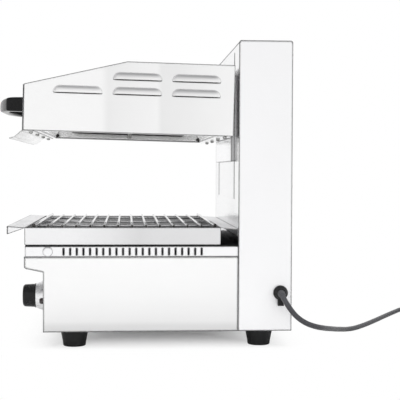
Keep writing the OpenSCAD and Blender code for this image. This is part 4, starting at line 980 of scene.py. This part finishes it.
def surroundings(scene, sky):
    """White all round. Dark flags hang before the grill and above it, so that bows and folds draw a line."""
    world = bpy.data.worlds.new("white surroundings")
    scene.world = world
    world.use_nodes = True
    tree = world.node_tree
    tree.nodes.clear()
    ray = add(tree, "ShaderNodeLightPath").outputs
    way = add(tree, "ShaderNodeSeparateXYZ", {0: add(tree, "ShaderNodeTexCoord").outputs["Generated"]})
    before = add(tree, "ShaderNodeMapRange", {"Value": way.outputs["Y"], "From Min": -0.45, "From Max": -0.85},
                 interpolation_type="SMOOTHSTEP")
    above = add(tree, "ShaderNodeMapRange", {"Value": way.outputs["Z"], "From Min": 0.4, "From Max": 0.95},
                interpolation_type="SMOOTHSTEP")
    raised = add(tree, "ShaderNodeMapRange", {"Value": way.outputs["Z"], "From Min": 0.15, "From Max": 0.45})
    hung = add(tree, "ShaderNodeMath", {0: before, 1: raised}, operation="MULTIPLY")
    dark = add(tree, "ShaderNodeMath", {0: hung, 1: above}, operation="MAXIMUM")
    flags = add(tree, "ShaderNodeMix", {SHARE: dark, FIRST: WHITE, SECOND: linear("#808082")}, data_type="RGBA")
    matt = add(tree, "ShaderNodeBackground", {"Color": WHITE, "Strength": sky})
    shiny = add(tree, "ShaderNodeBackground", {"Color": flags, "Strength": 1.0})
    white = add(tree, "ShaderNodeBackground", {"Color": WHITE, "Strength": 1.0})
    bounced = add(tree, "ShaderNodeMath", {0: ray["Is Glossy Ray"], 1: ray["Is Transmission Ray"]},
                  operation="MAXIMUM")
    some = add(tree, "ShaderNodeMixShader", {0: bounced, 1: matt, 2: shiny})
    full = add(tree, "ShaderNodeMixShader", {0: ray["Is Camera Ray"], 1: some, 2: white})
    add(tree, "ShaderNodeOutputWorld", {"Surface": full})


def soft_lamps(powers):
    """Square soft lamps that neither the eye nor bright metal sees."""
    for (name, place, aim, width), power in zip(LAMPS, powers):
        data = bpy.data.lights.new(name, "AREA")
        data.energy = power
        data.shape = "SQUARE"
        data.size = width
        made = new_object(name, data)
        made.location = place
        made.rotation_euler = (Vector(aim) - Vector(place)).to_track_quat("-Z", "Y").to_euler()
        made.visible_glossy = False
        made.visible_camera = False


class GRILL_OT_stage(bpy.types.Operator):
    """Pale floor, white surroundings and soft lamps"""

    bl_idname = "grill.stage"
    bl_label = "Stage"

    def execute(self, context):
        s = context.scene.grill_stage
        table(s)
        surroundings(context.scene, s.sky)
        soft_lamps((s.key, s.fill))
        context.scene.view_settings.view_transform = "Standard"
        return {"FINISHED"}


# ---------- panel and run ----------


class GRILL_PT_panel(bpy.types.Panel):
    """The steps that dress the grill"""

    bl_label = "Grill"
    bl_idname = "GRILL_PT_panel"
    bl_space_type = "VIEW_3D"
    bl_region_type = "UI"
    bl_category = "Grill"

    def draw(self, context):
        for group in (context.scene.grill_sizes, context.scene.grill_colours, context.scene.grill_stage):
            box = self.layout.box()
            for key in group.bl_rna.properties.keys():
                if key not in ("rna_type", "name"):
                    box.prop(group, key)
        for step in STEPS:
            self.layout.operator(step.bl_idname)


STEPS = (GRILL_OT_camera, GRILL_OT_cord, GRILL_OT_panels, GRILL_OT_lift, GRILL_OT_heater, GRILL_OT_handle,
         GRILL_OT_control, GRILL_OT_rack, GRILL_OT_feet, GRILL_OT_stage)
GROUPS = (GrillSizes, GrillColours, GrillStage)


def register():
    """Register the settings, the steps and the panel."""
    for made in (*GROUPS, *STEPS, GRILL_PT_panel):
        bpy.utils.register_class(made)
    bpy.types.Scene.grill_sizes = bpy.props.PointerProperty(type=GrillSizes)
    bpy.types.Scene.grill_colours = bpy.props.PointerProperty(type=GrillColours)
    bpy.types.Scene.grill_stage = bpy.props.PointerProperty(type=GrillStage)


def unregister():
    """Take them out again."""
    del bpy.types.Scene.grill_stage
    del bpy.types.Scene.grill_colours
    del bpy.types.Scene.grill_sizes
    for made in (GRILL_PT_panel, *STEPS[::-1], *GROUPS[::-1]):
        bpy.utils.unregister_class(made)


def main():
    """Dress the grill."""
    register()
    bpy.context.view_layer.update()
    bpy.ops.grill.camera()
    bpy.ops.grill.cord()
    bpy.ops.grill.panels()
    bpy.ops.grill.lift()
    bpy.ops.grill.heater()
    bpy.ops.grill.handle()
    bpy.ops.grill.control()
    bpy.ops.grill.rack()
    bpy.ops.grill.feet()
    bpy.ops.grill.stage()
    bpy.context.view_layer.update()


if __name__ == "__main__":
    main()
